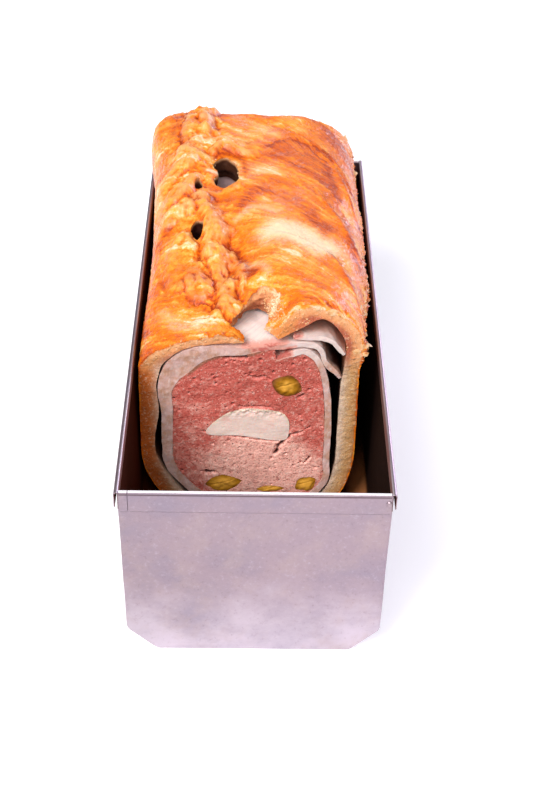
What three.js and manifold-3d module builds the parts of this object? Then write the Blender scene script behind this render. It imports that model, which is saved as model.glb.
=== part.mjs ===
// A pate en croute, cut open at the front, in the folded tinplate loaf tin it was baked in.
// Millimetres, +Z up. The tin's length runs along Y and the cut face looks towards -Y.
// The origin is the middle of the tin's underside.
import * as THREE from 'three';
import Module from 'manifold-3d';
import { ParametricGeometry } from 'three/addons/geometries/ParametricGeometry.js';
import { mergeVertices } from 'three/addons/utils/BufferGeometryUtils.js';

const wasm = await Module();
wasm.setup();

const { lerp, smoothstep, clamp } = THREE.MathUtils;

// Tin: one sheet folded to a trough, its long rims turned out and over, its end rims pressed flat.
const TIN_LENGTH = 250;
const TIN_WIDTH = 100;
const TIN_HEIGHT = 78;
const SHEET = 0.7;
const FLOOR_HALF = 36.6;
const BEVEL_TOP = 10.6;
const WALL_HALF_LOW = 47.7;
const WALL_HALF_HIGH = 48.9;
const SIDE_HEM_DROP = 6.7;
const SIDE_HEM_WIDTH = 1.8;
const END_HEM_DROP = 9;
const END_HEM_WIDTH = 1.5;

// Loaf: where it is cut, where it ends, and its section below the shoulders.
const CUT_Y = -46;
const BACK_Y = 122.4;
const BACK_WALL = 8;
const BACK_ROUNDING = 10;
const BACK_SIDE_ROUNDING = 0.55;
const CRUST_BASE = 1.1;
const LEFT_SIDE = -46.5;
const RIGHT_SIDE = 40.5;
const LEFT_CORNER = { width: 30, height: 34 };
const RIGHT_CORNER = { width: 20, height: 35 };
const GAP = 0.3;

// Dome of the crust, at the cut and at the back: crown and shoulder heights, and how square each half is.
const LEFT_CROWN = { cut: 92.5, back: 108 };
const RIGHT_CROWN = { cut: 107.6, back: 105.2 };
const LEFT_SHOULDER = { cut: 74, back: 83 };
const RIGHT_SHOULDER = 79.5;
const LEFT_POWER = { cut: 1.9, back: 4.2 };
const RIGHT_POWER = 3;
const LEFT_BULGE = 3.3;
const RIGHT_LIP = { cut: 1, back: 4, height: 4 };

// Seam of the two dough flaps: its line, its groove, and the dip where it opens at the cut.
const SEAM = { x: -11.5, slope: -0.125, swing: 2.6, wave: 7.5 };
const GROOVE = { depth: 2.6, half: 4 };
const CROSSOVER = { left: 4, right: 22 };
const DIP = { x: 4, depth: 9.3, halfX: 10, halfY: 15 };
const RIPPLE = { height: 0.7, waveX: 6, waveY: 12 };

// Pinched lumps along the seam: middle, half widths, height and turn.
const LUMPS = [
  { x: -27, y: 102, halfX: 6, halfY: 17, height: 5, turn: 0.1 },
  { x: -13, y: 81, halfX: 10, halfY: 6, height: 4.2, turn: 0.15 },
  { x: -31, y: 69, halfX: 8, halfY: 11, height: 3.2, turn: 0.3 },
  { x: -32, y: 37, halfX: 9, halfY: 9, height: 4, turn: -0.4 },
  { x: -18.5, y: 22, halfX: 6, halfY: 11, height: 5.4, turn: 0.2 },
  { x: -31, y: 12, halfX: 5, halfY: 7, height: 3, turn: 0.3 },
  { x: -16.5, y: -2, halfX: 7, halfY: 6.5, height: 5, turn: -0.2 },
  { x: -25, y: -14, halfX: 6.5, halfY: 8, height: 3.4, turn: 0.5 },
  { x: -12, y: -23, halfX: 5, halfY: 12, height: 3.4, turn: -0.15 },
];
const LUMP_STEEPNESS = 1.5;

// Overlapping dough strips that run from the seam out to the right and forward.
const STRIPS = { pitch: 31, lean: 0.2, curve: 0.0125, height: 1.6, drop: 0.86, start: 6, full: 20 };

// Openings through the crust: a vent, two gaps in the seam and the broken notch at the cut.
const OPENINGS = [
  { x: -14, y: 60.4, halfX: 5.7, halfY: 10.6, floor: 87, phase: 0.4 },
  { x: -25.5, y: 21, halfX: 2.6, halfY: 7, floor: 83, phase: 1.7 },
  { x: -26, y: 51, halfX: 1.6, halfY: 3.4, floor: 85, phase: 2.9 },
  { x: 1.4, y: -39, halfX: 9, halfY: 12.6, floor: 84.5, phase: 0.9 },
];
const OPENING_TOP = 130;
const OPENING_SIDES = 22;

// Columns of the crust's grid on each stretch of its section, rows along it, and the end trimmed off.
const COLUMNS = { top: 62, rightSide: 5, rightCorner: 7, bottom: 3, leftCorner: 7, leftSide: 4 };
const ROWS = 46;
const TRIM = 6;

// Hollow inside the crust, seen at the cut as [x, z], from the top middle round by the left.
const HOLLOW = [
  [-4, 88], [-20, 86.7], [-30, 83.6], [-36.5, 77.5], [-39.4, 68], [-38.8, 54], [-40.8, 41],
  [-40.6, 33], [-37.5, 25], [-32, 16], [-26.5, 9.4], [-20, 8], [18, 8], [25.8, 10.4], [30, 16.8],
  [32, 24], [33, 34], [33.2, 50], [33.4, 66], [34.2, 76], [35, 86], [32.4, 93.6], [25.5, 99.3],
  [17.5, 95.4], [9, 90.4],
];
const HOLLOW_SAMPLES = 72;

// Middle line of the back-fat sheet at the cut as [x, z, thickness], from its inner tip clockwise.
const WRAP = [
  [7.6, 79.6, 0.9], [12.6, 82.2, 2.1], [18.2, 83.8, 2.6], [22.6, 81.6, 2.6], [25.3, 77, 2.6],
  [26.9, 71.6, 2.6], [28.5, 60.8, 2.8], [29.2, 46, 2.8], [29.1, 29.3, 2.8], [29.3, 22, 2.7],
  [27, 16, 2.8], [22.2, 11, 3], [15, 9.9, 3], [-15, 9.9, 3], [-22.5, 11.6, 3.4], [-29.4, 18.4, 3.8],
  [-34.9, 27, 4.2], [-35.8, 40, 4.4], [-35.4, 54, 4.6], [-36, 64, 5.2], [-33.8, 71, 7],
  [-29.8, 76.4, 8.8], [-22.8, 81.6, 7], [-14.5, 83.8, 4.4], [-6, 84, 3.8], [2, 85.1, 2.4],
  [10.4, 86.2, 2.4], [19.2, 87.2, 2.4], [23.8, 86.2, 2.4], [25.8, 83.2, 2.2], [26.6, 79.8, 2],
  [28.6, 76.8, 2.2], [31, 74.6, 2], [32.5, 72, 1.2],
];
const WRAP_SAMPLES = 80;
const MEAT_SAMPLES = 60;

// Loose fat slice under the raised arch of the crust, as [x, z, thickness].
const SLICE = [
  [14, 90.4, 1.2], [20, 90.6, 2.2], [25.6, 90.4, 2.2], [29.2, 88.9, 2.1], [31.5, 86.2, 1.9],
  [33.5, 83.2, 1.1],
];
const SLICE_SAMPLES = 18;

// White strip at the heart of the filling, as [x, z] from its left point: flat underneath, arched on top.
const CORE_STRIP = [
  [-20, 43.7], [-6, 42.4], [12.2, 40.6], [13.5, 45], [13.2, 50.4], [10.6, 54], [2, 55.8], [-7, 55.4],
  [-14.4, 51.4],
];
const CORE_SAMPLES = 32;

// Pistachios at the cut: middle, half sizes across X, along Y and up Z, and turn in the cut plane.
const PISTACHIOS = [
  { x: 12.2, z: 67.4, halfX: 5.9, halfY: 7.5, halfZ: 4.9, turn: -0.35 },
  { x: -13, z: 17.6, halfX: 7.2, halfY: 6.5, halfZ: 4.1, turn: 0.1 },
  { x: 21, z: 17.6, halfX: 4.6, halfY: 7, halfZ: 3.7, turn: 0.6 },
  { x: 6.6, z: 14.6, halfX: 5.8, halfY: 5, halfZ: 1.6, turn: 0.05 },
];
const PISTACHIO_DEPTH = 1.2;

// The filling rises under the left flap and settles under the right one towards the back.
const RISE = { left: 10, right: -3, blend: 16, low: 35, high: 82 };
const LENGTH_STEPS = 3;

const MERGE_DISTANCE = 1e-4;

// Solids and outlines

function solidFrom(geometry) {
  const bare = geometry.clone();
  bare.deleteAttribute('normal');
  bare.deleteAttribute('uv');
  const merged = mergeVertices(bare, MERGE_DISTANCE);
  const index = merged.index.array;
  const triVerts = [];
  for (let i = 0; i < index.length; i += 3) {
    const [a, b, c] = [index[i], index[i + 1], index[i + 2]];
    if (a !== b && b !== c && c !== a) triVerts.push(a, b, c);
  }
  return new wasm.Manifold(new wasm.Mesh({
    numProp: 3,
    vertProperties: new Float32Array(merged.attributes.position.array),
    triVerts: new Uint32Array(triVerts),
  }));
}

// The largest single body of a solid, as a geometry.
function geometryFrom(solid) {
  const bodies = solid.decompose();
  bodies.sort((a, b) => b.volume() - a.volume());
  const mesh = bodies[0].getMesh();
  const geometry = new THREE.BufferGeometry();
  geometry.setAttribute('position', new THREE.BufferAttribute(mesh.vertProperties, 3));
  geometry.setIndex(new THREE.BufferAttribute(mesh.triVerts, 1));
  geometry.computeVertexNormals();
  return geometry;
}

// Everything in front of the cut.
function frontBlock() {
  const box = new THREE.BoxGeometry(2 * TIN_WIDTH, TIN_WIDTH, 4 * TIN_HEIGHT);
  return solidFrom(box.translate(0, CUT_Y - TIN_WIDTH / 2, TIN_HEIGHT));
}

// A section drawn in X and Z, swept along Y.
function sweep(shape, fromY, toY, steps = 1) {
  const geometry = new THREE.ExtrudeGeometry(shape, { depth: toY - fromY, bevelEnabled: false, steps });
  geometry.rotateX(Math.PI / 2);
  return geometry.translate(0, toY, 0);
}

function splineThrough(points, closed = false) {
  const knots = points.map(([x, z, width = 0]) => new THREE.Vector3(x, z, width));
  return new THREE.CatmullRomCurve3(knots, closed);
}

// Points to the left (1) or right (-1) of a line, half its width and a margin away from it.
function sidePoints(line, samples, side, margin = 0, end = 1) {
  const points = [];
  for (let i = 0; i <= samples; i += 1) {
    const t = (i / samples) * end;
    const here = line.getPoint(t);
    const along = line.getTangent(t);
    const across = new THREE.Vector2(-along.y, along.x).normalize();
    const reach = side * (here.z / 2 + margin);
    points.push(new THREE.Vector2(here.x + across.x * reach, here.y + across.y * reach));
  }
  return points;
}

function stripShape(line, samples) {
  return new THREE.Shape([...sidePoints(line, samples, 1), ...sidePoints(line, samples, -1).reverse()]);
}

// A closed outline through points that run anticlockwise, grown outwards by a margin.
function closedShape(points, samples, margin = 0) {
  return new THREE.Shape(sidePoints(splineThrough(points, true), samples, -1, margin).slice(0, -1));
}

// Share of the loaf's length from the cut to the back.
function lengthShare(y) {
  return clamp((y - CUT_Y) / (BACK_Y - CUT_Y), 0, 1);
}

// A sweep inside the loaf, lifted with the filling towards the back.
function risingSweep(shape, fromY, toY) {
  const geometry = sweep(shape, fromY, toY, LENGTH_STEPS);
  const position = geometry.attributes.position;
  for (let i = 0; i < position.count; i += 1) {
    const z = position.getZ(i);
    const amount = lerp(RISE.left, RISE.right, smoothstep(position.getX(i), -RISE.blend, RISE.blend));
    position.setZ(i, z + lengthShare(position.getY(i)) * amount * smoothstep(z, RISE.low, RISE.high));
  }
  return geometry;
}

const fillingEnd = BACK_Y - BACK_WALL - GAP;

function filling(shape) {
  return risingSweep(shape, CUT_Y, fillingEnd);
}

// Tin

// Trough section: flat floor, two slanted bevels and nearly upright walls, drawn in by an inset.
function troughShape(inset, top) {
  const slant = Math.atan2(BEVEL_TOP, WALL_HALF_LOW - FLOOR_HALF);
  const floor = FLOOR_HALF - inset * Math.tan(slant / 2);
  const bevel = BEVEL_TOP + inset * Math.tan((Math.PI / 2 - slant) / 2);
  const low = WALL_HALF_LOW - inset;
  const high = WALL_HALF_HIGH - inset;
  const shape = new THREE.Shape();
  shape.moveTo(-floor, inset);
  shape.lineTo(floor, inset);
  shape.lineTo(low, bevel);
  shape.lineTo(high, top);
  shape.lineTo(-high, top);
  shape.lineTo(-low, bevel);
  return shape;
}

// A rim turned over: an upside-down U with an open slot inside it, or solid where it is pressed flat.
function hemShape(inner, width, drop, slot) {
  const radius = width / 2;
  const arcZ = TIN_HEIGHT - radius;
  const shape = new THREE.Shape();
  shape.moveTo(inner, arcZ - drop);
  shape.lineTo(inner + SHEET, arcZ - drop);
  if (slot > 0) {
    shape.lineTo(inner + SHEET, arcZ);
    shape.absarc(inner + radius, arcZ, slot / 2, Math.PI, 0, true);
    shape.lineTo(inner + width - SHEET, TIN_HEIGHT - drop);
  }
  shape.lineTo(inner + width, TIN_HEIGHT - drop);
  shape.lineTo(inner + width, arcZ);
  shape.absarc(inner + radius, arcZ, radius, 0, Math.PI, false);
  return shape;
}

function tinGeometry() {
  const half = TIN_LENGTH / 2;
  const panel = half - (END_HEM_WIDTH - SHEET);
  const wallTop = TIN_HEIGHT - SIDE_HEM_WIDTH / 2;
  const outside = solidFrom(sweep(troughShape(0, wallTop), -panel, panel));
  const inside = solidFrom(sweep(troughShape(SHEET, TIN_HEIGHT + SHEET), SHEET - panel, panel - SHEET));
  let tin = outside.subtract(inside);
  const sideInner = TIN_WIDTH / 2 - SIDE_HEM_WIDTH;
  const sideHem = hemShape(sideInner, SIDE_HEM_WIDTH, SIDE_HEM_DROP, SIDE_HEM_WIDTH - 2 * SHEET);
  const endHem = hemShape(half - END_HEM_WIDTH, END_HEM_WIDTH, END_HEM_DROP, 0);
  for (const turn of [0, Math.PI]) {
    tin = tin.add(solidFrom(sweep(sideHem, -half, half).rotateZ(turn)));
    tin = tin.add(solidFrom(sweep(endHem, -sideInner, sideInner).rotateZ(turn + Math.PI / 2)));
  }
  return geometryFrom(tin);
}

// Crust

// The seam wanders to the left towards the back.
function seamX(y) {
  return SEAM.x + SEAM.slope * y + SEAM.swing * Math.sin(y / SEAM.wave + 0.6);
}

function bump(distance, half) {
  return Math.exp(-((distance / half) ** 2));
}

function lumpHeight(lump, x, y) {
  const cos = Math.cos(lump.turn);
  const sin = Math.sin(lump.turn);
  const across = ((x - lump.x) * cos + (y - lump.y) * sin) / lump.halfX;
  const along = ((y - lump.y) * cos - (x - lump.x) * sin) / lump.halfY;
  return lump.height * Math.exp(-((across * across + along * along) ** LUMP_STEEPNESS));
}

// Each strip swells towards its back edge and drops there onto the next one.
function stripHeight(x, y) {
  const out = Math.max(0, x - seamX(y));
  const phase = (y + STRIPS.lean * out + STRIPS.curve * out * out) / STRIPS.pitch;
  const step = phase - Math.floor(phase);
  const swell = step * step * (1 - smoothstep(step, STRIPS.drop, 1));
  return STRIPS.height * swell * smoothstep(out, STRIPS.start, STRIPS.full);
}

// Height of the baked relief over the plain dome.
function topRelief(x, y) {
  const ripple = Math.sin(x / RIPPLE.waveX + Math.sin(y / RIPPLE.waveY)) * Math.sin(y / RIPPLE.waveY + 1);
  let height = RIPPLE.height * ripple + stripHeight(x, y);
  height -= GROOVE.depth * bump(x - seamX(y), GROOVE.half) * smoothstep(lengthShare(y), 0.03, 0.2);
  height -= DIP.depth * bump(x - DIP.x, DIP.halfX) * bump(y - CUT_Y, DIP.halfY);
  for (const lump of LUMPS) height += lumpHeight(lump, x, y);
  return height;
}

function crownHeight(x, y) {
  const along = lengthShare(y);
  const left = lerp(LEFT_CROWN.cut, LEFT_CROWN.back, smoothstep(along, 0, 0.75));
  const right = lerp(RIGHT_CROWN.cut, RIGHT_CROWN.back, along);
  const seam = seamX(y);
  return lerp(left, right, smoothstep(x, seam - CROSSOVER.left, seam + CROSSOVER.right));
}

// How far the rounded back edge draws the section in at y.
function backInset(y) {
  const reach = clamp((y - (BACK_Y - BACK_ROUNDING)) / BACK_ROUNDING, 0, 1);
  return BACK_ROUNDING * (1 - Math.sqrt(1 - reach * reach));
}

// One point of the dome: a squarish arch from the left shoulder (0) to the right one (1), with its relief.
function domePoint(share, y, target) {
  const along = lengthShare(y);
  const inset = backInset(y);
  const left = LEFT_SIDE - LEFT_BULGE * smoothstep(along, 0.72, 0.95) + inset * BACK_SIDE_ROUNDING;
  const lip = lerp(RIGHT_LIP.cut, RIGHT_LIP.back, smoothstep(along, 0, 0.25));
  const right = RIGHT_SIDE + lip - inset * BACK_SIDE_ROUNDING;
  const middle = (left + right) / 2;
  const onLeft = share < 0.5;
  const power = onLeft ? lerp(LEFT_POWER.cut, LEFT_POWER.back, along) : RIGHT_POWER;
  const shoulder = onLeft ? lerp(LEFT_SHOULDER.cut, LEFT_SHOULDER.back, along) : RIGHT_SHOULDER;
  const cosPart = Math.abs(Math.cos(Math.PI * share)) ** (2 / power);
  const sinPart = Math.abs(Math.sin(Math.PI * share)) ** (2 / power);
  const x = middle + ((onLeft ? left : right) - middle) * cosPart;
  const top = crownHeight(x, y) - inset;
  const z = lerp(shoulder, top, sinPart) + topRelief(x, y) * smoothstep(sinPart, 0.35, 0.75);
  target.set(x, y, z);
}

// The sides, rounded corners and base, from the right shoulder down and round to the left one.
function sidePoint(stretch, share, y, target) {
  const inset = backInset(y) * BACK_SIDE_ROUNDING;
  const right = RIGHT_SIDE - inset;
  const left = LEFT_SIDE + inset;
  const base = CRUST_BASE + inset;
  if (stretch === 'rightSide') {
    domePoint(1, y, target);
    const z = lerp(RIGHT_SHOULDER, base + RIGHT_CORNER.height, share ** 1.6);
    const out = smoothstep(z, RIGHT_SHOULDER - RIGHT_LIP.height, RIGHT_SHOULDER);
    target.set(lerp(right, target.x, out), y, z);
  } else if (stretch === 'rightCorner') {
    const angle = (share * Math.PI) / 2;
    const x = right - RIGHT_CORNER.width * (1 - Math.cos(angle));
    target.set(x, y, base + RIGHT_CORNER.height * (1 - Math.sin(angle)));
  } else if (stretch === 'bottom') {
    target.set(lerp(right - RIGHT_CORNER.width, left + LEFT_CORNER.width, share), y, base);
  } else if (stretch === 'leftCorner') {
    const angle = (share * Math.PI) / 2;
    const x = left + LEFT_CORNER.width * (1 - Math.sin(angle));
    target.set(x, y, base + LEFT_CORNER.height * (1 - Math.cos(angle)));
  } else {
    domePoint(0, y, target);
    const top = Math.min(target.z - 1, TIN_HEIGHT + GAP);
    const climb = (share * COLUMNS.leftSide) / (COLUMNS.leftSide - 1);
    target.set(left, y, lerp(base + LEFT_CORNER.height, top, climb));
  }
}

const columnCount = Object.values(COLUMNS).reduce((sum, count) => sum + count, 0);

function sectionPoint(column, y, target) {
  let left = column % columnCount;
  for (const [stretch, count] of Object.entries(COLUMNS)) {
    if (left < count) {
      if (stretch === 'top') domePoint(left / count, y, target);
      else sidePoint(stretch, left / count, y, target);
      return;
    }
    left -= count;
  }
}

// Rows close together at the rounded back and even elsewhere, with one closing row at each end.
function crustGrid() {
  return new ParametricGeometry((u, v, target) => {
    const row = Math.round(v * ROWS);
    const share = clamp((row - 1) / (ROWS - 2), 0, 1);
    const y = lerp(CUT_Y - TRIM, BACK_Y, 1.12 * share - 0.12 * share ** 6);
    sectionPoint(Math.round(u * columnCount), y, target);
    if (row === 0 || row === ROWS) target.set((LEFT_SIDE + RIGHT_SIDE) / 2, y, TIN_HEIGHT / 2);
  }, columnCount, ROWS);
}

// An upright plug with an uneven oval outline, for breaking through the crust.
function openingPlug({ x, y, halfX, halfY, floor, phase }) {
  const outline = [];
  for (let i = 0; i < OPENING_SIDES; i += 1) {
    const angle = (2 * Math.PI * i) / OPENING_SIDES;
    const wobble = 1 + 0.1 * Math.sin(2 * angle + phase) + 0.08 * Math.sin(5 * angle + 3 * phase);
    outline.push(new THREE.Vector2(halfX * wobble * Math.cos(angle), halfY * wobble * Math.sin(angle)));
  }
  const depth = OPENING_TOP - floor;
  const plug = new THREE.ExtrudeGeometry(new THREE.Shape(outline), { depth, bevelEnabled: false });
  return solidFrom(plug.translate(x, y, floor));
}

function crustGeometry() {
  const hollow = risingSweep(closedShape(HOLLOW, HOLLOW_SAMPLES), CUT_Y - 2 * TRIM, BACK_Y - BACK_WALL);
  let crust = solidFrom(crustGrid()).subtract(solidFrom(hollow));
  for (const opening of OPENINGS) crust = crust.subtract(openingPlug(opening));
  return geometryFrom(crust.subtract(frontBlock()));
}

// Filling

const wrapLine = splineThrough(WRAP);

function wrapGeometry() {
  return filling(stripShape(wrapLine, WRAP_SAMPLES));
}

function sliceGeometry() {
  return filling(stripShape(splineThrough(SLICE), SLICE_SAMPLES));
}

function coreGeometry() {
  return filling(closedShape(CORE_STRIP, CORE_SAMPLES));
}

function pistachioSolid({ x, z, halfX, halfY, halfZ, turn }, margin = 0) {
  const nut = new THREE.SphereGeometry(1, 14, 10);
  nut.scale(halfX + margin, halfY + margin, halfZ + margin);
  nut.rotateY(-turn);
  return solidFrom(nut.translate(x, CUT_Y + PISTACHIO_DEPTH, z));
}

// Minced filling out to the inside of the fat sheet, hollowed for the core strip and the pistachios.
function meatGeometry() {
  const outline = sidePoints(wrapLine, MEAT_SAMPLES, -1, GAP, MEAT_SAMPLES / WRAP_SAMPLES);
  const coreHole = risingSweep(closedShape(CORE_STRIP, CORE_SAMPLES, GAP), CUT_Y - TRIM, BACK_Y);
  let meat = solidFrom(filling(new THREE.Shape(outline))).subtract(solidFrom(coreHole));
  for (const nut of PISTACHIOS) meat = meat.subtract(pistachioSolid(nut, GAP));
  return geometryFrom(meat);
}

// Finishes

const tinplate = new THREE.MeshStandardMaterial({ color: '#bdb6c0', roughness: 0.35, metalness: 1 });
const bakedCrust = new THREE.MeshStandardMaterial({ color: '#d8923f', roughness: 0.45, metalness: 0 });
const backFat = new THREE.MeshStandardMaterial({ color: '#ebe4dd', roughness: 0.4, metalness: 0 });
const mince = new THREE.MeshStandardMaterial({ color: '#b9746c', roughness: 0.6, metalness: 0 });
const paleMeat = new THREE.MeshStandardMaterial({ color: '#e9d6cb', roughness: 0.5, metalness: 0 });
const nutGreen = new THREE.MeshStandardMaterial({ color: '#a39a3c', roughness: 0.5, metalness: 0 });

function piece(name, geometry, material) {
  const mesh = new THREE.Mesh(geometry, material.clone());
  mesh.name = name;
  return mesh;
}

const loaf = new THREE.Group();
loaf.add(piece('crust', crustGeometry(), bakedCrust));
loaf.add(piece('fat_wrap', wrapGeometry(), backFat));
loaf.add(piece('fat_slice', sliceGeometry(), backFat));
loaf.add(piece('forcemeat', meatGeometry(), mince));
loaf.add(piece('core_strip', coreGeometry(), paleMeat));
PISTACHIOS.forEach((nut, i) => {
  const half = geometryFrom(pistachioSolid(nut).subtract(frontBlock()));
  loaf.add(piece(`pistachio_${i + 1}`, half, nutGreen));
});

const pate = new THREE.Group();
pate.add(piece('tin', tinGeometry(), tinplate), loaf);

export default pate;
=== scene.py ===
"""Looks of a pate en croute, cut open at the front, in the folded tinplate loaf tin it was baked in.

Sizes are millimetres in the part's own frame: +Z up, the tin's length along Y, the cut face looking to -Y.
Meshes are turned into metres when they are made.
"""

import itertools
import logging
import math
from dataclasses import dataclass, field
from enum import Enum
from typing import Any, Callable, Iterable, Optional, Sequence, Union

import bmesh
import bpy
import numpy as np
from mathutils import Matrix, Vector
from mathutils.bvhtree import BVHTree


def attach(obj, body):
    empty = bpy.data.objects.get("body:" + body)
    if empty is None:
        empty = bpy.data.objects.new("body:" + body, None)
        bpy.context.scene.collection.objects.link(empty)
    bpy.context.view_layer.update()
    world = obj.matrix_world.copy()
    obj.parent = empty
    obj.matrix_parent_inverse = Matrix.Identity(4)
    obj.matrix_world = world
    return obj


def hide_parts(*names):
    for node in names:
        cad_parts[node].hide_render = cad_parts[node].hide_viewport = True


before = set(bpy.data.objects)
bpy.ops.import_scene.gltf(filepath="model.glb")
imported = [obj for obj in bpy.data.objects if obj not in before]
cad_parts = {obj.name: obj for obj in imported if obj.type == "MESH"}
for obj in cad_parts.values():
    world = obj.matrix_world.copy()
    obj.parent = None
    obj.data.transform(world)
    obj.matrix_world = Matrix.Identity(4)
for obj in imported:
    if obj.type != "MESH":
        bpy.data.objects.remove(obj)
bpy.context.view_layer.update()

Array = np.ndarray
Points = Sequence[Sequence[float]]
Faces = list[tuple[int, ...]]
Relief = Callable[[Array, Array], Array]
Swell = Callable[[Array, Array, Array], Array]
Colour = tuple[float, float, float]
Place = tuple[float, float, float]
Number = Union["Wire", float, int]
Sizes = Union[float, Colour]
Settings = dict[str, Any]
Sockets = dict[Any, Any]
Piece = bpy.types.Object
Finish = bpy.types.Material
Socket = bpy.types.NodeSocket

MM = 0.001
# Length of the block that is cut away in front of the food.
FRONT_BLOCK = 30.0
# Middle lines of the two sheets of fat at the cut: x, z and thickness.
WRAP_LINE: Points = (
    (7.6, 79.6, 0.9), (12.6, 82.2, 2.1), (18.2, 83.8, 2.6), (22.6, 81.6, 2.6), (25.3, 77, 2.6),
    (26.9, 71.6, 2.6), (28.5, 60.8, 2.8), (29.2, 46, 2.8), (29.1, 29.3, 2.8), (29.3, 22, 2.7),
    (27, 16, 2.8), (22.2, 11, 3), (15, 9.9, 3), (-15, 9.9, 3), (-22.5, 11.6, 3.4), (-29.4, 18.4, 3.8),
    (-34.9, 27, 4.2), (-35.8, 40, 4.4), (-35.5, 54, 4.8), (-36.25, 64, 5.7), (-34.1, 71.2, 7.7),
    (-30.05, 76.65, 9.5), (-22.95, 81.9, 7.5), (-14.5, 83.9, 4.6), (-6, 84, 3.8), (2, 85.1, 2.4),
    (10.4, 86.2, 2.4), (19.2, 87.2, 2.4), (23.8, 86.2, 2.4), (25.8, 83.2, 2.2), (26.6, 79.8, 2),
    (28.6, 76.8, 2.2), (31.2, 74.4, 2), (33.1, 71.6, 1.4),
)
SLICE_LINE: Points = (
    (14, 90.4, 1.2), (20, 90.6, 2.2), (25.6, 90.4, 2.2), (29.2, 88.9, 2.1), (31.7, 86, 1.9),
    (34.3, 82.8, 1.3),
)
# Outline of the core strip at the cut: x and z.
CORE_OUTLINE: Points = (
    (-20, 43.7), (-6, 42.4), (12.2, 40.6), (13.5, 45), (13.2, 50.4), (10.6, 54), (2, 55.8), (-7, 55.4),
    (-14.4, 51.4),
)

log = logging.getLogger("pate")


def ease(value: Array, low: float, high: float) -> Array:
    """Smooth step from 0 at low to 1 at high."""
    share = np.clip((np.asarray(value, float) - low) / (high - low), 0.0, 1.0)
    return share * share * (3.0 - 2.0 * share)


def mix(first: Array, second: Array, share: Array) -> Array:
    """Straight mix of two values."""
    return first + (second - first) * share


def bell(distance: Array, half: float) -> Array:
    """Rounded hump of height 1 that falls to 1/e at half."""
    return np.exp(-((distance / half) ** 2))


class Grain:
    """Seeded smooth noise and cell noise on arrays of points.

    Gain brings the smooth noise to about -1 to 1, and shift keeps its layers from lining up.
    """

    SIZE = 256
    GAIN = 1.6
    SHIFT = 17.3

    def __init__(self, seed: int) -> None:
        """Draws the noise's tables.

        Args:
            seed: number that fixes the pattern.
        """
        draw = np.random.default_rng(seed)
        slopes = draw.normal(size=(self.SIZE, 3))
        self._order = draw.permutation(self.SIZE)
        self._slopes = slopes / np.linalg.norm(slopes, axis=1, keepdims=True)
        self._spots = draw.random((self.SIZE, 3))

    def _entry(self, cell: Array) -> Array:
        """Table entry of each whole-numbered cell."""
        mask = self.SIZE - 1
        first = self._order[cell[..., 0] & mask]
        second = self._order[(first + cell[..., 1]) & mask]
        return self._order[(second + cell[..., 2]) & mask]

    def smooth(self, points: Array) -> Array:
        """Gradient noise.

        Args:
            points: places in cells, with x, y and z last.

        Returns:
            Values of about -1 to 1.
        """
        base = np.floor(points).astype(int)
        part = points - base
        fade = part**3 * (part * (part * 6.0 - 15.0) + 10.0)
        total = np.zeros(points.shape[:-1])
        for corner in itertools.product((0, 1), repeat=3):
            step = np.array(corner)
            slope = self._slopes[self._entry(base + step)]
            weight = np.prod(np.where(step == 1, fade, 1.0 - fade), axis=-1)
            total += weight * np.sum(slope * (part - step), axis=-1)
        return total * self.GAIN

    def layered(self, points: Array, layers: int = 4) -> Array:
        """Sum of smooth noise at halving sizes.

        Args:
            points: places in cells of the largest layer.
            layers: how many sizes are added.

        Returns:
            Values of about -1 to 1.
        """
        total = np.zeros(points.shape[:-1])
        for layer in range(layers):
            total += self.smooth(points * 2.0**layer + self.SHIFT * layer) * 0.5**layer
        return total

    def cells(self, points: Array) -> tuple[Array, Array]:
        """Distances to the nearest and second nearest of scattered spots, one in each cell.

        Args:
            points: places in cells.

        Returns:
            Nearest and second nearest distance, in cells.
        """
        base = np.floor(points).astype(int)
        near = np.full(points.shape[:-1], 9.0)
        second = near.copy()
        for corner in itertools.product((-1, 0, 1), repeat=3):
            cell = base + np.array(corner)
            away = np.linalg.norm(cell + self._spots[self._entry(cell)] - points, axis=-1)
            second = np.minimum(second, np.maximum(near, away))
            near = np.minimum(near, away)
        return near, second


def spots(x: Array, y: Array, size_x: float, size_y: Optional[float] = None, level: float = 0.5) -> Array:
    """Points in a plane, in cells of a given size.

    Args:
        x: first coordinate.
        y: second coordinate.
        size_x: cell size along the first coordinate.
        size_y: cell size along the second one, the same where left out.
        level: third coordinate in cells, which picks another slice of a noise.

    Returns:
        Points with three coordinates last.
    """
    x, y = np.broadcast_arrays(x, y)
    return np.stack([x / size_x, y / (size_y or size_x), np.full(x.shape, level)], axis=-1)


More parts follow.
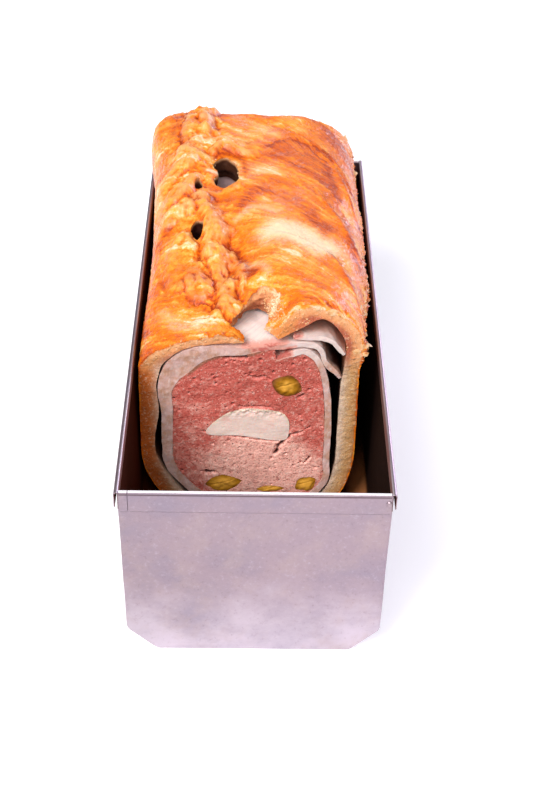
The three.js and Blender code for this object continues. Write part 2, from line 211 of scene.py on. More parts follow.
def spline(knots: Points, samples: int, closed: bool = False, end: float = 1.0) -> Array:
    """Centripetal curve through knots, as the part's own outlines are drawn.

    Args:
        knots: points of any one dimension.
        samples: number of steps.
        closed: whether the last knot joins the first.
        end: share of the curve that is sampled.

    Returns:
        Points on the curve, one more than samples.
    """
    known = np.asarray(knots, float)
    count = len(known)
    if closed:
        padded = np.vstack([known[-1:], known, known[:2]])
        spans = count
    else:
        padded = np.vstack([2 * known[0] - known[1], known, 2 * known[-1] - known[-2]])
        spans = count - 1
    place = np.linspace(0.0, end, samples + 1) * spans
    span = np.minimum(place.astype(int), spans - 1)
    share = (place - span)[:, None]
    p0, p1, p2, p3 = (padded[span + step] for step in range(4))
    d0, d1, d2 = (
        np.sum((b - a) ** 2, axis=1, keepdims=True) ** 0.25 for a, b in ((p0, p1), (p1, p2), (p2, p3))
    )
    leave = ((p1 - p0) / d0 - (p2 - p0) / (d0 + d1) + (p2 - p1) / d1) * d1
    arrive = ((p2 - p1) / d1 - (p3 - p1) / (d1 + d2) + (p3 - p2) / d2) * d1
    bend = -3 * p1 + 3 * p2 - 2 * leave - arrive
    twist = 2 * p1 - 2 * p2 + leave + arrive
    return p1 + share * (leave + share * (bend + share * twist))


def beside(line: Array, reach: Array) -> Array:
    """Points to the left of a flat line by a signed reach.

    Args:
        line: points of the line, two coordinates each.
        reach: distance of each point, negative to the right.

    Returns:
        The moved points.
    """
    along = np.gradient(line, axis=0)
    across = np.stack([-along[:, 1], along[:, 0]], axis=1)
    across /= np.linalg.norm(across, axis=1, keepdims=True)
    return line + across * np.reshape(reach, (-1, 1))


def nearest_on(line: Array, x: Array, y: Array) -> tuple[Array, Array]:
    """Distance of flat points from a line of straight pieces, and where along it they are nearest.

    Args:
        line: corners of the line.
        x: first coordinate of the points.
        y: second coordinate of the points.

    Returns:
        Distances, and shares of the line's pieces from 0 to 1.
    """
    nearest = np.full(np.broadcast(x, y).shape, 1e9)
    place = np.zeros_like(nearest)
    for number, (start, stop) in enumerate(zip(line[:-1], line[1:])):
        step = np.asarray(stop) - start
        share = ((x - start[0]) * step[0] + (y - start[1]) * step[1]) / max(step @ step, 1e-9)
        share = np.clip(share, 0.0, 1.0)
        away = np.hypot(x - start[0] - share * step[0], y - start[1] - share * step[1])
        place = np.where(away < nearest, (number + share) / (len(line) - 1), place)
        nearest = np.minimum(nearest, away)
    return nearest, place


def distance_to(line: Array, x: Array, y: Array) -> Array:
    """Distance of flat points from a line of straight pieces."""
    return nearest_on(np.asarray(line, float), x, y)[0]


class Run(Enum):
    """Which way a rim runs."""

    ALONG = "along the tin"
    ACROSS = "across the tin"


def grid_faces(rows: int, columns: int, closed: bool) -> Faces:
    """Quads of a grid of points stored row by row.

    Args:
        rows: number of rows of points.
        columns: number of points in a row.
        closed: whether each row closes on itself.

    Returns:
        Corner numbers of each quad.
    """
    across = np.arange(columns if closed else columns - 1)
    upward = np.arange(rows - 1)[:, None] * columns
    beyond = (across + 1) % columns
    above = upward + columns
    quads = np.stack([upward + across, upward + beyond, above + beyond, above + across], -1)
    return [tuple(quad) for quad in quads.reshape(-1, 4).tolist()]


def tube_faces(rows: int, columns: int) -> Faces:
    """Faces of closed rows of points; the caps of both ends come last."""
    last = rows * columns
    return grid_faces(rows, columns, True) + [tuple(range(columns)), tuple(range(last - columns, last))]


def border(rows: int, columns: int) -> Array:
    """Numbers of a grid's outer points, in order round it."""
    numbers = np.arange(rows * columns).reshape(rows, columns)
    return np.concatenate([numbers[0], numbers[1:, -1], numbers[-1, -2::-1], numbers[-2:0:-1, 0]])


def ring_of(line: Array) -> Array:
    """A line that comes back to its first point."""
    return np.vstack([line, line[:1]])


def ball(make: Callable[..., Any], **sizes: float) -> tuple[Array, Faces]:
    """One of the plain balls that Blender can make.

    Args:
        make: the operator that makes it.
        **sizes: its radius and number of parts.

    Returns:
        Corners, and the corner numbers of each face.
    """
    form = bmesh.new()
    make(form, **sizes)
    points = np.array([corner.co[:] for corner in form.verts])
    # Blender may list the faces in another order each run.
    faces = sorted(tuple(corner.index for corner in face.verts) for face in form.faces)
    form.free()
    return points, faces


def new_piece(name: str, points: Array, faces: Iterable[Sequence[int]]) -> Piece:
    """Mesh object from millimetre points, with its faces turned outwards.

    Args:
        name: the piece's name.
        points: corners in millimetres.
        faces: corner numbers of each face.

    Returns:
        The new object, at the origin.
    """
    mesh = bpy.data.meshes.new(name)
    mesh.from_pydata((np.asarray(points, float).reshape(-1, 3) * MM).tolist(), [], list(faces))
    form = bmesh.new()
    form.from_mesh(mesh)
    bmesh.ops.recalc_face_normals(form, faces=form.faces)
    form.to_mesh(mesh)
    form.free()
    piece = bpy.data.objects.new(name, mesh)
    bpy.context.scene.collection.objects.link(piece)
    return piece


def new_line(name: str, points: Array, closed: bool) -> Piece:
    """Object of edges along millimetre points.

    Args:
        name: the object's name.
        points: corners in millimetres.
        closed: whether the last corner joins the first.

    Returns:
        The new object.
    """
    count = len(points)
    edges = [(i, (i + 1) % count) for i in range(count if closed else count - 1)]
    mesh = bpy.data.meshes.new(name)
    mesh.from_pydata((points * MM).tolist(), edges, [])
    line = bpy.data.objects.new(name, mesh)
    bpy.context.scene.collection.objects.link(line)
    return line


def discard(piece: Piece) -> None:
    """Removes a helper object and its mesh."""
    mesh = piece.data
    bpy.data.objects.remove(piece)
    bpy.data.meshes.remove(mesh)


def settle(piece: Piece) -> None:
    """Turns a piece and its modifiers into a plain mesh."""
    ready = piece.evaluated_get(bpy.context.evaluated_depsgraph_get())
    made = bpy.data.meshes.new_from_object(ready)
    old = piece.data
    piece.modifiers.clear()
    piece.data = made
    made.name = piece.name
    bpy.data.meshes.remove(old)


def carve(piece: Piece, tool: Piece) -> None:
    """Cuts a closed tool out of a closed piece and removes the tool.

    Args:
        piece: the mesh that is changed.
        tool: the mesh that changes it.
    """
    modifier = piece.modifiers.new("cut", "BOOLEAN")
    modifier.operation = "DIFFERENCE"
    modifier.solver = "MANIFOLD"
    modifier.object = tool
    settle(piece)
    discard(tool)


def corners(piece: Piece) -> Array:
    """Corners of a piece in millimetres."""
    flat = np.empty(len(piece.data.vertices) * 3, np.float32)
    piece.data.vertices.foreach_get("co", flat)
    return flat.reshape(-1, 3).astype(float) / MM


def keep(piece: Piece, name: str, values: Array) -> None:
    """Stores one number for each corner of a piece.

    Args:
        piece: the mesh object.
        name: the attribute's name, which its finish reads.
        values: the numbers.
    """
    layer = piece.data.attributes.new(name, "FLOAT", "POINT")
    layer.data.foreach_set("value", np.asarray(values, np.float32))


def soften(piece: Piece, sharp_degrees: float) -> None:
    """Smooth shading, apart from edges sharper than an angle."""
    piece.data.shade_smooth()
    piece.data.set_sharp_from_angle(angle=math.radians(sharp_degrees))


def dress(piece: Piece, material: Finish, nodes: Sequence[str] = ()) -> None:
    """Gives a finished piece its material and its place in the frame.

    Args:
        piece: the mesh object.
        material: its finish.
        nodes: the part's solids that it stands for.
    """
    piece.data.materials.clear()
    piece.data.materials.append(material)
    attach(piece, "root")
    if nodes:
        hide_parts(*nodes)
    piece.data.calc_loop_triangles()
    log.info("%s: %d triangles", piece.name, len(piece.data.loop_triangles))


def rough_front(cut_y: float, reach: Points, step: float, relief: Relief) -> Piece:
    """Block in front of the cut whose back face carries a relief.

    Args:
        cut_y: where the cut lies.
        reach: lowest and highest x and z of the block.
        step: distance between the points of its back face.
        relief: depth into the food at x and z.

    Returns:
        The block, as a cutting tool.
    """
    low, high = reach
    across = np.linspace(low[0], high[0], int((high[0] - low[0]) / step) + 1)
    upward = np.linspace(low[1], high[1], int((high[1] - low[1]) / step) + 1)
    x, z = np.meshgrid(across, upward)
    back = np.stack([x, cut_y + relief(x, z), z], axis=-1).reshape(-1, 3)
    rim = border(*x.shape)
    front = back[rim].copy()
    front[:, 1] = cut_y - FRONT_BLOCK
    faces = grid_faces(*x.shape, closed=False)
    first = x.size
    count = len(rim)
    for i in range(count):
        beyond = (i + 1) % count
        faces.append((int(rim[i]), int(rim[beyond]), first + beyond, first + i))
    faces.append(tuple(range(first, first + count)))
    return new_piece("front_block", np.vstack([back, front]), faces)


def add_node(tree: bpy.types.NodeTree, kind: str, settings: Settings, sockets: Sockets) -> bpy.types.Node:
    """Adds one node to a tree.

    Args:
        tree: the node tree.
        kind: the node's type.
        settings: its own settings; stops are a ramp's places and colours.
        sockets: values, sockets or wires of its inputs, by name or number.

    Returns:
        The new node.
    """
    made = tree.nodes.new(kind)
    for name, value in settings.items():
        if name == "stops":
            set_stops(made.color_ramp, value)
        else:
            setattr(made, name, value)
    for name, value in sockets.items():
        plug(tree, made.inputs[name], value)
    return made


def set_stops(ramp: bpy.types.ColorRamp, stops: Sequence[tuple[float, Colour]]) -> None:
    """Sets a colour ramp's stops."""
    while len(ramp.elements) < len(stops):
        ramp.elements.new(1.0)
    for element, (place, colour) in zip(ramp.elements, stops):
        element.position = place
        element.color = (*colour, 1.0)


def plug(tree: bpy.types.NodeTree, socket: Socket, value: Any) -> None:
    """Links a socket or a wire into an input, or sets the input's own value."""
    if isinstance(value, Wire):
        value = value.socket
    if isinstance(value, Socket):
        tree.links.new(value, socket)
    elif isinstance(value, tuple) and socket.type == "RGBA":
        socket.default_value = (*value, 1.0)
    else:
        socket.default_value = value


class Tree:
    """A Geometry Nodes tree that is built by calls and turned into plain mesh."""

    def __init__(self, name: str, inputs: dict[str, str]) -> None:
        """Makes an empty tree.

        Args:
            name: the tree's name.
            inputs: socket types by label; the first one takes the piece itself.
        """
        self._group = bpy.data.node_groups.new(name, "GeometryNodeTree")
        for label, kind in inputs.items():
            self._group.interface.new_socket(label, in_out="INPUT", socket_type=kind)
        self._group.interface.new_socket("Result", in_out="OUTPUT", socket_type="NodeSocketGeometry")
        self._source = self._group.nodes.new("NodeGroupInput")

    def given(self, label: str) -> Socket:
        """One of the tree's inputs."""
        return self._source.outputs[label]

    def node(self, kind: str, settings: Settings, sockets: Sockets, output: Any = 0) -> Socket:
        """Adds one node and gives one of its outputs, by name or number."""
        return add_node(self._group, kind, settings, sockets).outputs[output]

    def close(self, shapes: Socket, finish: Socket) -> None:
        """Ends the tree in plain geometry with a finish."""
        real = self.node("GeometryNodeRealizeInstances", {}, {0: shapes})
        done = self.node("GeometryNodeSetMaterial", {}, {"Geometry": real, "Material": finish})
        end = self._group.nodes.new("NodeGroupOutput")
        self._group.links.new(done, end.inputs[0])

    def grow(self, piece: Piece, values: dict[str, Any]) -> None:
        """Runs the tree on a piece, which becomes the result as a plain mesh.

        Args:
            piece: the object that the tree starts from.
            values: the tree's other inputs, by label.
        """
        modifier = piece.modifiers.new(self._group.name, "NODES")
        modifier.node_group = self._group
        for item in self._group.interface.items_tree:
            if item.in_out == "INPUT" and item.name in values:
                modifier[item.identifier] = values[item.name]
        settle(piece)


@dataclass
class Strewn:
    """Small shapes strewn by Geometry Nodes over part of a piece.

    Density is the number on a square millimetre where the weight is 1, sizes are the smallest and
    largest, thin is the shapes' thickness as a share of their width, and tilt is how far they stand up.
    Edges over the sharp angle, in degrees, are not smoothed.
    """

    name: str
    density: float
    sizes: tuple[float, float]
    thin: float
    tilt: float
    seed: int
    sharp: float = 50.0

    def _shape(self) -> Piece:
        """An uneven crumb or flake, 1 mm wide."""
        points, faces = ball(bmesh.ops.create_icosphere, subdivisions=1, radius=0.5)
        draw = np.random.default_rng(self.seed)
        points = points * draw.uniform(0.65, 1.35, (len(points), 1)) * np.array([1.0, 0.75, self.thin])
        points[:, 2] += (1.0 - self.thin) * 0.6 * points[:, 0] ** 2
        return new_piece("strewn_shape", points, faces)

    def _tree(self) -> Tree:
        """Tree that strews the shape over a surface."""
        number, whole = "NodeSocketFloat", "NodeSocketInt"
        tree = Tree(self.name, {
            "Surface": "NodeSocketGeometry", "Density": number, "Smallest": number, "Largest": number,
            "Tilt": number, "Seed": whole, "Shape": "NodeSocketObject", "Finish": "NodeSocketMaterial",
        })
        times = {"operation": "MULTIPLY"}
        weight = tree.node("GeometryNodeInputNamedAttribute", {"data_type": "FLOAT"}, {"Name": "strew"})
        density = tree.node("ShaderNodeMath", times, {0: weight, 1: tree.given("Density")})
        scatter = {"Mesh": tree.given("Surface"), "Density": density, "Seed": tree.given("Seed")}
        points = tree.node("GeometryNodeDistributePointsOnFaces", {}, scatter)
        upright = points.node.outputs["Rotation"]
        up = tree.given("Tilt")
        down = tree.node("ShaderNodeMath", times, {0: up, 1: -1.0})
        low = tree.node("ShaderNodeCombineXYZ", {}, {0: down, 1: down, 2: 0.0})
        high = tree.node("ShaderNodeCombineXYZ", {}, {0: up, 1: up, 2: math.tau})
        turn = tree.node("FunctionNodeRandomValue", {"data_type": "FLOAT_VECTOR"}, {0: low, 1: high})
        turns = {"Rotation": upright, "Rotate By": turn}
        turned = tree.node("FunctionNodeRotateRotation", {"rotation_space": "LOCAL"}, turns)
        span = {2: tree.given("Smallest"), 3: tree.given("Largest"), 8: 5}
        size = tree.node("FunctionNodeRandomValue", {"data_type": "FLOAT"}, span, 1)
        shape = tree.node("GeometryNodeObjectInfo", {}, {"Object": tree.given("Shape")}, "Geometry")
        copies = {"Points": points, "Instance": shape, "Rotation": turned, "Scale": size}
        tree.close(tree.node("GeometryNodeInstanceOnPoints", {}, copies), tree.given("Finish"))
        return tree

    def build(self, surface: Piece, weight: Array, material: Finish, slot: str) -> None:
        """Strews the shapes.

        Args:
            surface: the piece they lie on.
            weight: for each of its corners, how thickly they lie there.
            material: their finish.
            slot: not used.
        """
        piece = bpy.data.objects.new(self.name, surface.data.copy())
        bpy.context.scene.collection.objects.link(piece)
        keep(piece, "strew", np.clip(weight, 0.0, 1.0))
        shape = self._shape()
        values = {
            "Density": self.density / MM**2, "Smallest": self.sizes[0], "Largest": self.sizes[1],
            "Tilt": self.tilt, "Seed": self.seed, "Shape": shape, "Finish": material,
        }
        self._tree().grow(piece, values)
        discard(shape)
        soften(piece, self.sharp)
        dress(piece, material)


class Wire:
    """A shader socket that takes part in Python arithmetic."""

    def __init__(self, paint: "Paint", socket: Socket) -> None:
        """Holds a socket and the paint it belongs to."""
        self.paint = paint
        self.socket = socket

    def _with(self, operation: str, first: Number, second: Number) -> "Wire":
        """One Math node on two values."""
        return self.paint.node("ShaderNodeMath", {"operation": operation}, {0: first, 1: second})

    def __add__(self, other: Number) -> "Wire":
        """Sum."""
        return self._with("ADD", self, other)

    __radd__ = __add__

    def __mul__(self, other: Number) -> "Wire":
        """Product."""
        return self._with("MULTIPLY", self, other)

    __rmul__ = __mul__

    def __sub__(self, other: Number) -> "Wire":
        """Difference."""
        return self._with("SUBTRACT", self, other)

    def __rsub__(self, other: Number) -> "Wire":
        """Difference from a plain number."""
        return self._with("SUBTRACT", other, self)

    def __truediv__(self, other: Number) -> "Wire":
        """Quotient."""
        return self._with("DIVIDE", self, other)


class Paint:
    """A material whose nodes are made by calls."""

    def __init__(self, name: str) -> None:
        """Makes a material with one principled shader.

        Args:
            name: the material's name.
        """
        self.material = bpy.data.materials.new(name)
        self.material.use_nodes = True
        self._tree = self.material.node_tree

    def node(self, kind: str, settings: Settings, sockets: Sockets, output: Any = 0) -> Wire:
        """Adds one node and gives one of its outputs, by name or number."""
        return Wire(self, add_node(self._tree, kind, settings, sockets).outputs[output])

    def place(self) -> Wire:
        """Object coordinates in millimetres."""
        here = self.node("ShaderNodeTexCoord", {}, {}, "Object")
        return self.node("ShaderNodeVectorMath", {"operation": "SCALE"}, {0: here, "Scale": 1.0 / MM})

    def height(self) -> Wire:
        """Height over the floor in millimetres."""
        return self.node("ShaderNodeSeparateXYZ", {}, {0: self.place()}, "Z")

    def stretched(self, sizes: Sizes, turn: Colour = (0.0, 0.0, 0.0)) -> Wire:
        """Object coordinates in cells of given sizes.

        Args:
            sizes: cell size in millimetres, one for all or along x, y and z.
            turn: rotation in radians before the sizes are applied.

        Returns:
            The coordinates as a vector wire.
        """
        cell = sizes if isinstance(sizes, tuple) else (sizes, sizes, sizes)
        sockets = {0: self.place(), "Rotation": turn, "Scale": cell}
        return self.node("ShaderNodeMapping", {"vector_type": "TEXTURE"}, sockets)

    def noise(
        self, sizes: Sizes, detail: float = 4.0, rough: float = 0.55, turn: Colour = (0.0, 0.0, 0.0)
    ) -> Wire:
        """Noise texture on object coordinates, about 0 to 1.

        Args:
            sizes: size of its blotches in millimetres, one for all or along x, y and z.
            detail: layers of finer noise.
            rough: weight of the finer layers.
            turn: rotation of the pattern in radians.

        Returns:
            The noise as a wire.
        """
        sockets = {"Vector": self.stretched(sizes, turn), "Scale": 1.0, "Detail": detail, "Roughness": rough}
        return self.node("ShaderNodeTexNoise", {}, sockets, "Fac")

    def cells(self, size: float) -> Wire:
        """Cell texture: distance to the nearest of scattered spots."""
        sockets = {"Vector": self.stretched(size), "Scale": 1.0}
        return self.node("ShaderNodeTexVoronoi", {"feature": "F1"}, sockets, "Distance")

    def strands(self, across: Wire, along: Wire, sizes: tuple[float, float], detail: float = 4.0) -> Wire:
        """Noise drawn out along a flow that is stored on the mesh.

        Args:
            across: millimetres across the flow.
            along: millimetres along the flow.
            sizes: width and length of a strand in millimetres.
            detail: layers of finer noise.

        Returns:
            The noise as a wire.
        """
        width, length = sizes
        place = self.node("ShaderNodeCombineXYZ", {}, {0: across / width, 1: along / length, 2: width})
        sockets = {"Vector": place, "Scale": 1.0, "Detail": detail, "Roughness": 0.6}
        return self.node("ShaderNodeTexNoise", {}, sockets, "Fac")

    def attribute(self, name: str) -> Wire:
        """A number stored on the mesh."""
        return self.node("ShaderNodeAttribute", {"attribute_name": name}, {}, "Fac")

    def between(self, value: Number, low: float, high: float) -> Wire:
        """Smooth step from 0 at low to 1 at high, also downwards."""
        settings = {"interpolation_type": "SMOOTHSTEP"}
        if low <= high:
            ends = {"From Min": low, "From Max": high, "To Min": 0.0, "To Max": 1.0}
        else:
            ends = {"From Min": high, "From Max": low, "To Min": 1.0, "To Max": 0.0}
        return self.node("ShaderNodeMapRange", settings, {"Value": value, **ends})

    def blend(self, share: Number, first: Any, second: Any) -> Wire:
        """Mix of two colours.

        Args:
            share: amount of the second colour.
            first: colour or wire.
            second: colour or wire.

        Returns:
            The mixed colour.
        """
        settings = {"data_type": "RGBA", "blend_type": "MIX", "clamp_factor": True}
        return self.node("ShaderNodeMix", settings, {0: share, 6: first, 7: second}, 2)

    def ramp(self, value: Number, stops: Sequence[tuple[float, Colour]]) -> Wire:
        """Colours along a value."""
        return self.node("ShaderNodeValToRGB", {"stops": stops}, {0: value})

    def bump(self, height: Wire, depth: float, strength: float = 1.0) -> Wire:
        """Normal of a small relief.

        Args:
            height: relief of 0 to 1.
            depth: its depth in millimetres.
            strength: how much of it is used.

        Returns:
            The normal as a wire.
        """
        sockets = {"Height": height, "Distance": depth * MM, "Strength": strength}
        return self.node("ShaderNodeBump", {}, sockets, "Normal")

    @staticmethod
    def flesh(weight: float, radius: Colour, depth: float) -> dict[str, Any]:
        """Shader inputs of a surface that light enters to a depth in millimetres."""
        return {"Subsurface_Weight": weight, "Subsurface_Radius": radius, "Subsurface_Scale": depth * MM}

    def finish(self, **sockets: Any) -> Finish:
        """Fills in the principled shader.

        Args:
            **sockets: its inputs, with underscores for spaces.

        Returns:
            The material.
        """
        shader = self._tree.nodes["Principled BSDF"]
        for name, value in sockets.items():
            plug(self._tree, shader.inputs[name.replace("_", " ")], value)
        return self.material


@dataclass(frozen=True)
class BakedPastry:
    """Egg-washed crust: orange gold, red-brown strands, pale spots and painted highlights; pale dough where
    it is cut.
    """

    # Painted light: highlights in the pale spots, shade in creases, holes and the hollow, glow on the arch's
    # cut.
    pale: Colour = (0.92, 0.69, 0.46)
    rolled: Colour = (0.84, 0.42, 0.15)
    gold: Colour = (0.87, 0.36, 0.045)
    orange: Colour = (0.82, 0.185, 0.005)
    russet: Colour = (0.64, 0.105, 0.009)
    brown: Colour = (0.38, 0.043, 0.006)
    side_dough: tuple[Colour, ...] = (
        (0.36, 0.12, 0.03), (0.54, 0.25, 0.09), (0.60, 0.32, 0.13), (0.66, 0.41, 0.23), (0.74, 0.53, 0.40),
    )
    top_dough: tuple[Colour, ...] = (
        (0.72, 0.19, 0.07), (0.84, 0.42, 0.20), (0.80, 0.36, 0.16), (0.74, 0.29, 0.12), (0.46, 0.11, 0.06),
    )
    torn: Colour = (0.92, 0.70, 0.49)
    # Painted orange glow, as of light shining through the thin pastry of the arch.
    amber: Colour = (0.82, 0.26, 0.055)
    toast: Colour = (0.52, 0.22, 0.09)
    shaded: Colour = (0.53, 0.10, 0.008)
    # Painted shade on the hollow's wall under the arch.
    arch_shade: Colour = (0.40, 0.13, 0.05)
    # Painted shade, near black, inside the holes and on the hollow's wall behind the cut.
    black_shade: Colour = (0.03, 0.005, 0.002)
    side_wall: float = 7.0
    top_wall: float = 5.0

    def material(self) -> Finish:
        """Builds the finish."""
        paint = Paint("baked_pastry")
        across = paint.attribute("flow")
        along = paint.attribute("pull")
        broad = paint.noise(26.0, 3.0) - 0.5
        blotch = paint.noise(5.0, 4.0, 0.6) - 0.5
        fleck = paint.noise(1.2, 3.0, 0.65) - 0.5
        pore = paint.noise(0.45, 2.0, 0.6) - 0.5
        warp = blotch * 9.0
        strand = paint.strands(across + warp, along + warp, (6.5, 30.0), 4.0) - 0.5
        fibre = paint.strands(across + warp * 0.5, along, (0.7, 6.0), 3.0) - 0.5
        depth = paint.attribute("depth")
        hole = paint.attribute("hole")
        streak = paint.strands(across + warp * 0.7, along, (2.1, 16.0), 4.0) - 0.5
        bake = broad * 0.8 + strand * 0.9 + blotch * 0.6 + streak * 0.6 + fleck * 0.35 + fibre * 0.4
        wave = paint.strands(across + warp * 0.35, along + warp, (3.6, 40.0), 3.0) - 0.5
        line = paint.between(wave * wave, 0.0022, 0.0)
        # The brown attribute holds real browning and painted shade in valleys and creases.
        bake = 0.41 + bake * 1.15 + paint.attribute("brown") * (0.58 + streak * 1.1 + line * 0.55)
        shades = (self.pale, self.gold, self.orange, self.russet, self.brown)
        baked = paint.ramp(bake, list(zip((0.04, 0.27, 0.50, 0.76, 1.0), shades)))
        roll = paint.attribute("roll") * paint.between(blotch + fleck * 0.6, -0.16, 0.12)
        baked = paint.blend(roll * 0.8, baked, self.rolled)
        # Pale spots: thin egg wash, and painted highlights.
        thin = paint.attribute("pale") + streak * 0.5 + fleck * 0.7 + fibre * 0.6 + pore * 0.4
        skin = paint.blend(paint.between(thin, 0.15, 1.0) * 0.9, baked, self.pale)
        edge = depth + fleck * 1.6 + blotch * 1.2
        places = (0.03, 0.18, 0.42, 0.68, 0.95)
        side = paint.ramp(edge / self.side_wall, list(zip(places, self.side_dough)))
        upper = paint.ramp(edge / self.top_wall, list(zip(places, self.top_dough)))
        crumb = paint.blend(paint.attribute("high"), side, upper)
        crumb = paint.blend(paint.attribute("shade") * paint.between(edge, 10.5, 2.5), crumb, self.shaded)
        # Painted glow on the cut of the arch.
        crumb = paint.blend(paint.attribute("amber"), crumb, self.amber)
        crumb = paint.blend(paint.between(paint.attribute("torn") + fleck * 0.8, 0.2, 0.7), crumb, self.torn)
        crumb = paint.blend(paint.between(pore + fleck * 0.6, -0.05, -0.2) * 0.6, crumb, self.toast)
        crumb = paint.blend(paint.between(pore * 0.6 + fleck, 0.04, 0.2) * 0.35, crumb, self.torn)
        # Inside the holes: toasted dough, then near-black painted shade.
        inside = paint.blend(paint.between(hole, 0.0, 0.5), crumb, self.toast)
        inside = paint.blend(paint.between(hole, 0.5, 1.0), inside, self.black_shade)
        cut = paint.blend(paint.between(depth, 0.2, 2.2), crumb, inside)
        # Painted shade on the hollow's wall behind the cut: near black low down, brown under the arch.
        cavity = paint.blend(paint.attribute("high"), self.black_shade, self.arch_shade)
        cut = paint.blend(paint.attribute("cavity"), cut, cavity)
        colour = paint.blend(paint.between(edge, 0.1, 0.8), skin, cut)
        wet = paint.between(depth, 0.9, 0.2)
        washed = wet * paint.between(paint.attribute("brown"), 1.0, 0.35)
        rough = 0.62 - wet * (0.3 + blotch * 0.7) + pore * 0.2
        relief = fleck * 1.0 + pore * 0.4 + streak * 0.5 + fibre * 0.5 + 0.5
        return paint.finish(
            Base_Color=colour,
            Roughness=rough,
            Normal=paint.bump(relief, 0.7, 0.7),
            Coat_Weight=washed * paint.between(blotch + fleck * 0.5, -0.2, 0.15) * 0.5,
            Coat_Roughness=0.24,
            Specular_IOR_Level=0.2,
            **paint.flesh(0.08, (0.9, 0.4, 0.15), 1.5),
        )


@dataclass(frozen=True)
class PastryCrumb:
    """Loose crumbs and flakes of crust, from pale dough to gold and brown."""

    pale: Colour = (0.80, 0.55, 0.35)
    gold: Colour = (0.74, 0.40, 0.17)
    brown: Colour = (0.46, 0.15, 0.04)

    def material(self) -> Finish:
        """Builds the finish."""
        paint = Paint("pastry_crumb")
        patch = paint.noise(2.2, 2.0)
        fine = paint.noise(0.4, 2.0)
        stops = [(0.34, self.pale), (0.54, self.gold), (0.72, self.brown)]
        colour = paint.ramp(patch + fine * 0.3 - 0.15, stops)
        rough = 0.55 + fine * 0.2
        return paint.finish(Base_Color=colour, Roughness=rough, Normal=paint.bump(fine, 0.2, 0.6))


@dataclass(frozen=True)
class BackFat:
    """Moist white back fat, pink and beige streaks; painted shade reddish under the arch, greyer inside,
    black in gaps.
    """

    clean: Colour = (0.88, 0.74, 0.69)
    white: Colour = (0.73, 0.475, 0.435)
    pink: Colour = (0.78, 0.34, 0.27)
    red: Colour = (0.52, 0.10, 0.08)
    # Painted shade: bluish grey streaks on the fat's fresh surfaces.
    cool_shade: Colour = (0.64, 0.54, 0.55)
    beige: Colour = (0.58, 0.31, 0.21)
    # Painted reddish shade on the fat under the arch.
    warm: Colour = (0.66, 0.30, 0.20)
    # Painted shade on the fat far inside the loaf.
    dim: Colour = (0.62, 0.41, 0.41)
    # Painted shade, near black, on the fat's faces in the gaps behind the cut.
    deep: Colour = (0.02, 0.005, 0.003)

    def material(self) -> Finish:
        """Builds the finish."""
        paint = Paint("back_fat")
        cloud = paint.noise((5.0, 8.0, 5.0), 4.0)
        fibre = paint.noise((1.0, 12.0, 2.4), 4.0, 0.6, (0.0, 0.0, -0.6))
        fine = paint.noise(0.7, 3.0, 0.65)
        blush = paint.attribute("blush")
        tone = paint.blend(paint.between(cloud + fine * 0.2, 0.48, 0.8), self.white, self.beige)
        tone = paint.blend(paint.between(fibre, 0.5, 0.75) * 0.45, tone, self.clean)
        fresh = paint.blend(paint.between(fibre, 0.42, 0.7) * 0.6, self.clean, self.cool_shade)
        tone = paint.blend(paint.attribute("clean"), tone, fresh)
        strand = paint.noise((3.0, 3.0, 0.8), 3.0, 0.6, (0.0, 0.35, 0.0)) - 0.5
        flush = blush * (1.0 + strand * 1.6) + fine * 0.3 - 0.15
        colour = paint.blend(paint.between(flush, 0.1, 0.6) * 0.8, tone, self.pink)
        colour = paint.blend(paint.between(flush, 0.75, 1.15) * 0.8, colour, self.red)
        colour = paint.blend(paint.attribute("warm") * (0.4 + cloud * 0.6), colour, self.warm)
        colour = paint.blend(paint.attribute("dim"), colour, self.dim)
        colour = paint.blend(paint.attribute("deep"), colour, self.deep)
        return paint.finish(
            Base_Color=colour,
            Roughness=0.2 + fine * 0.25,
            Normal=paint.bump(fibre * 0.7 + fine * 0.2 + cloud * 0.5, 0.45, 0.6),
            **paint.flesh(0.25, (1.0, 0.6, 0.45), 1.5),
        )


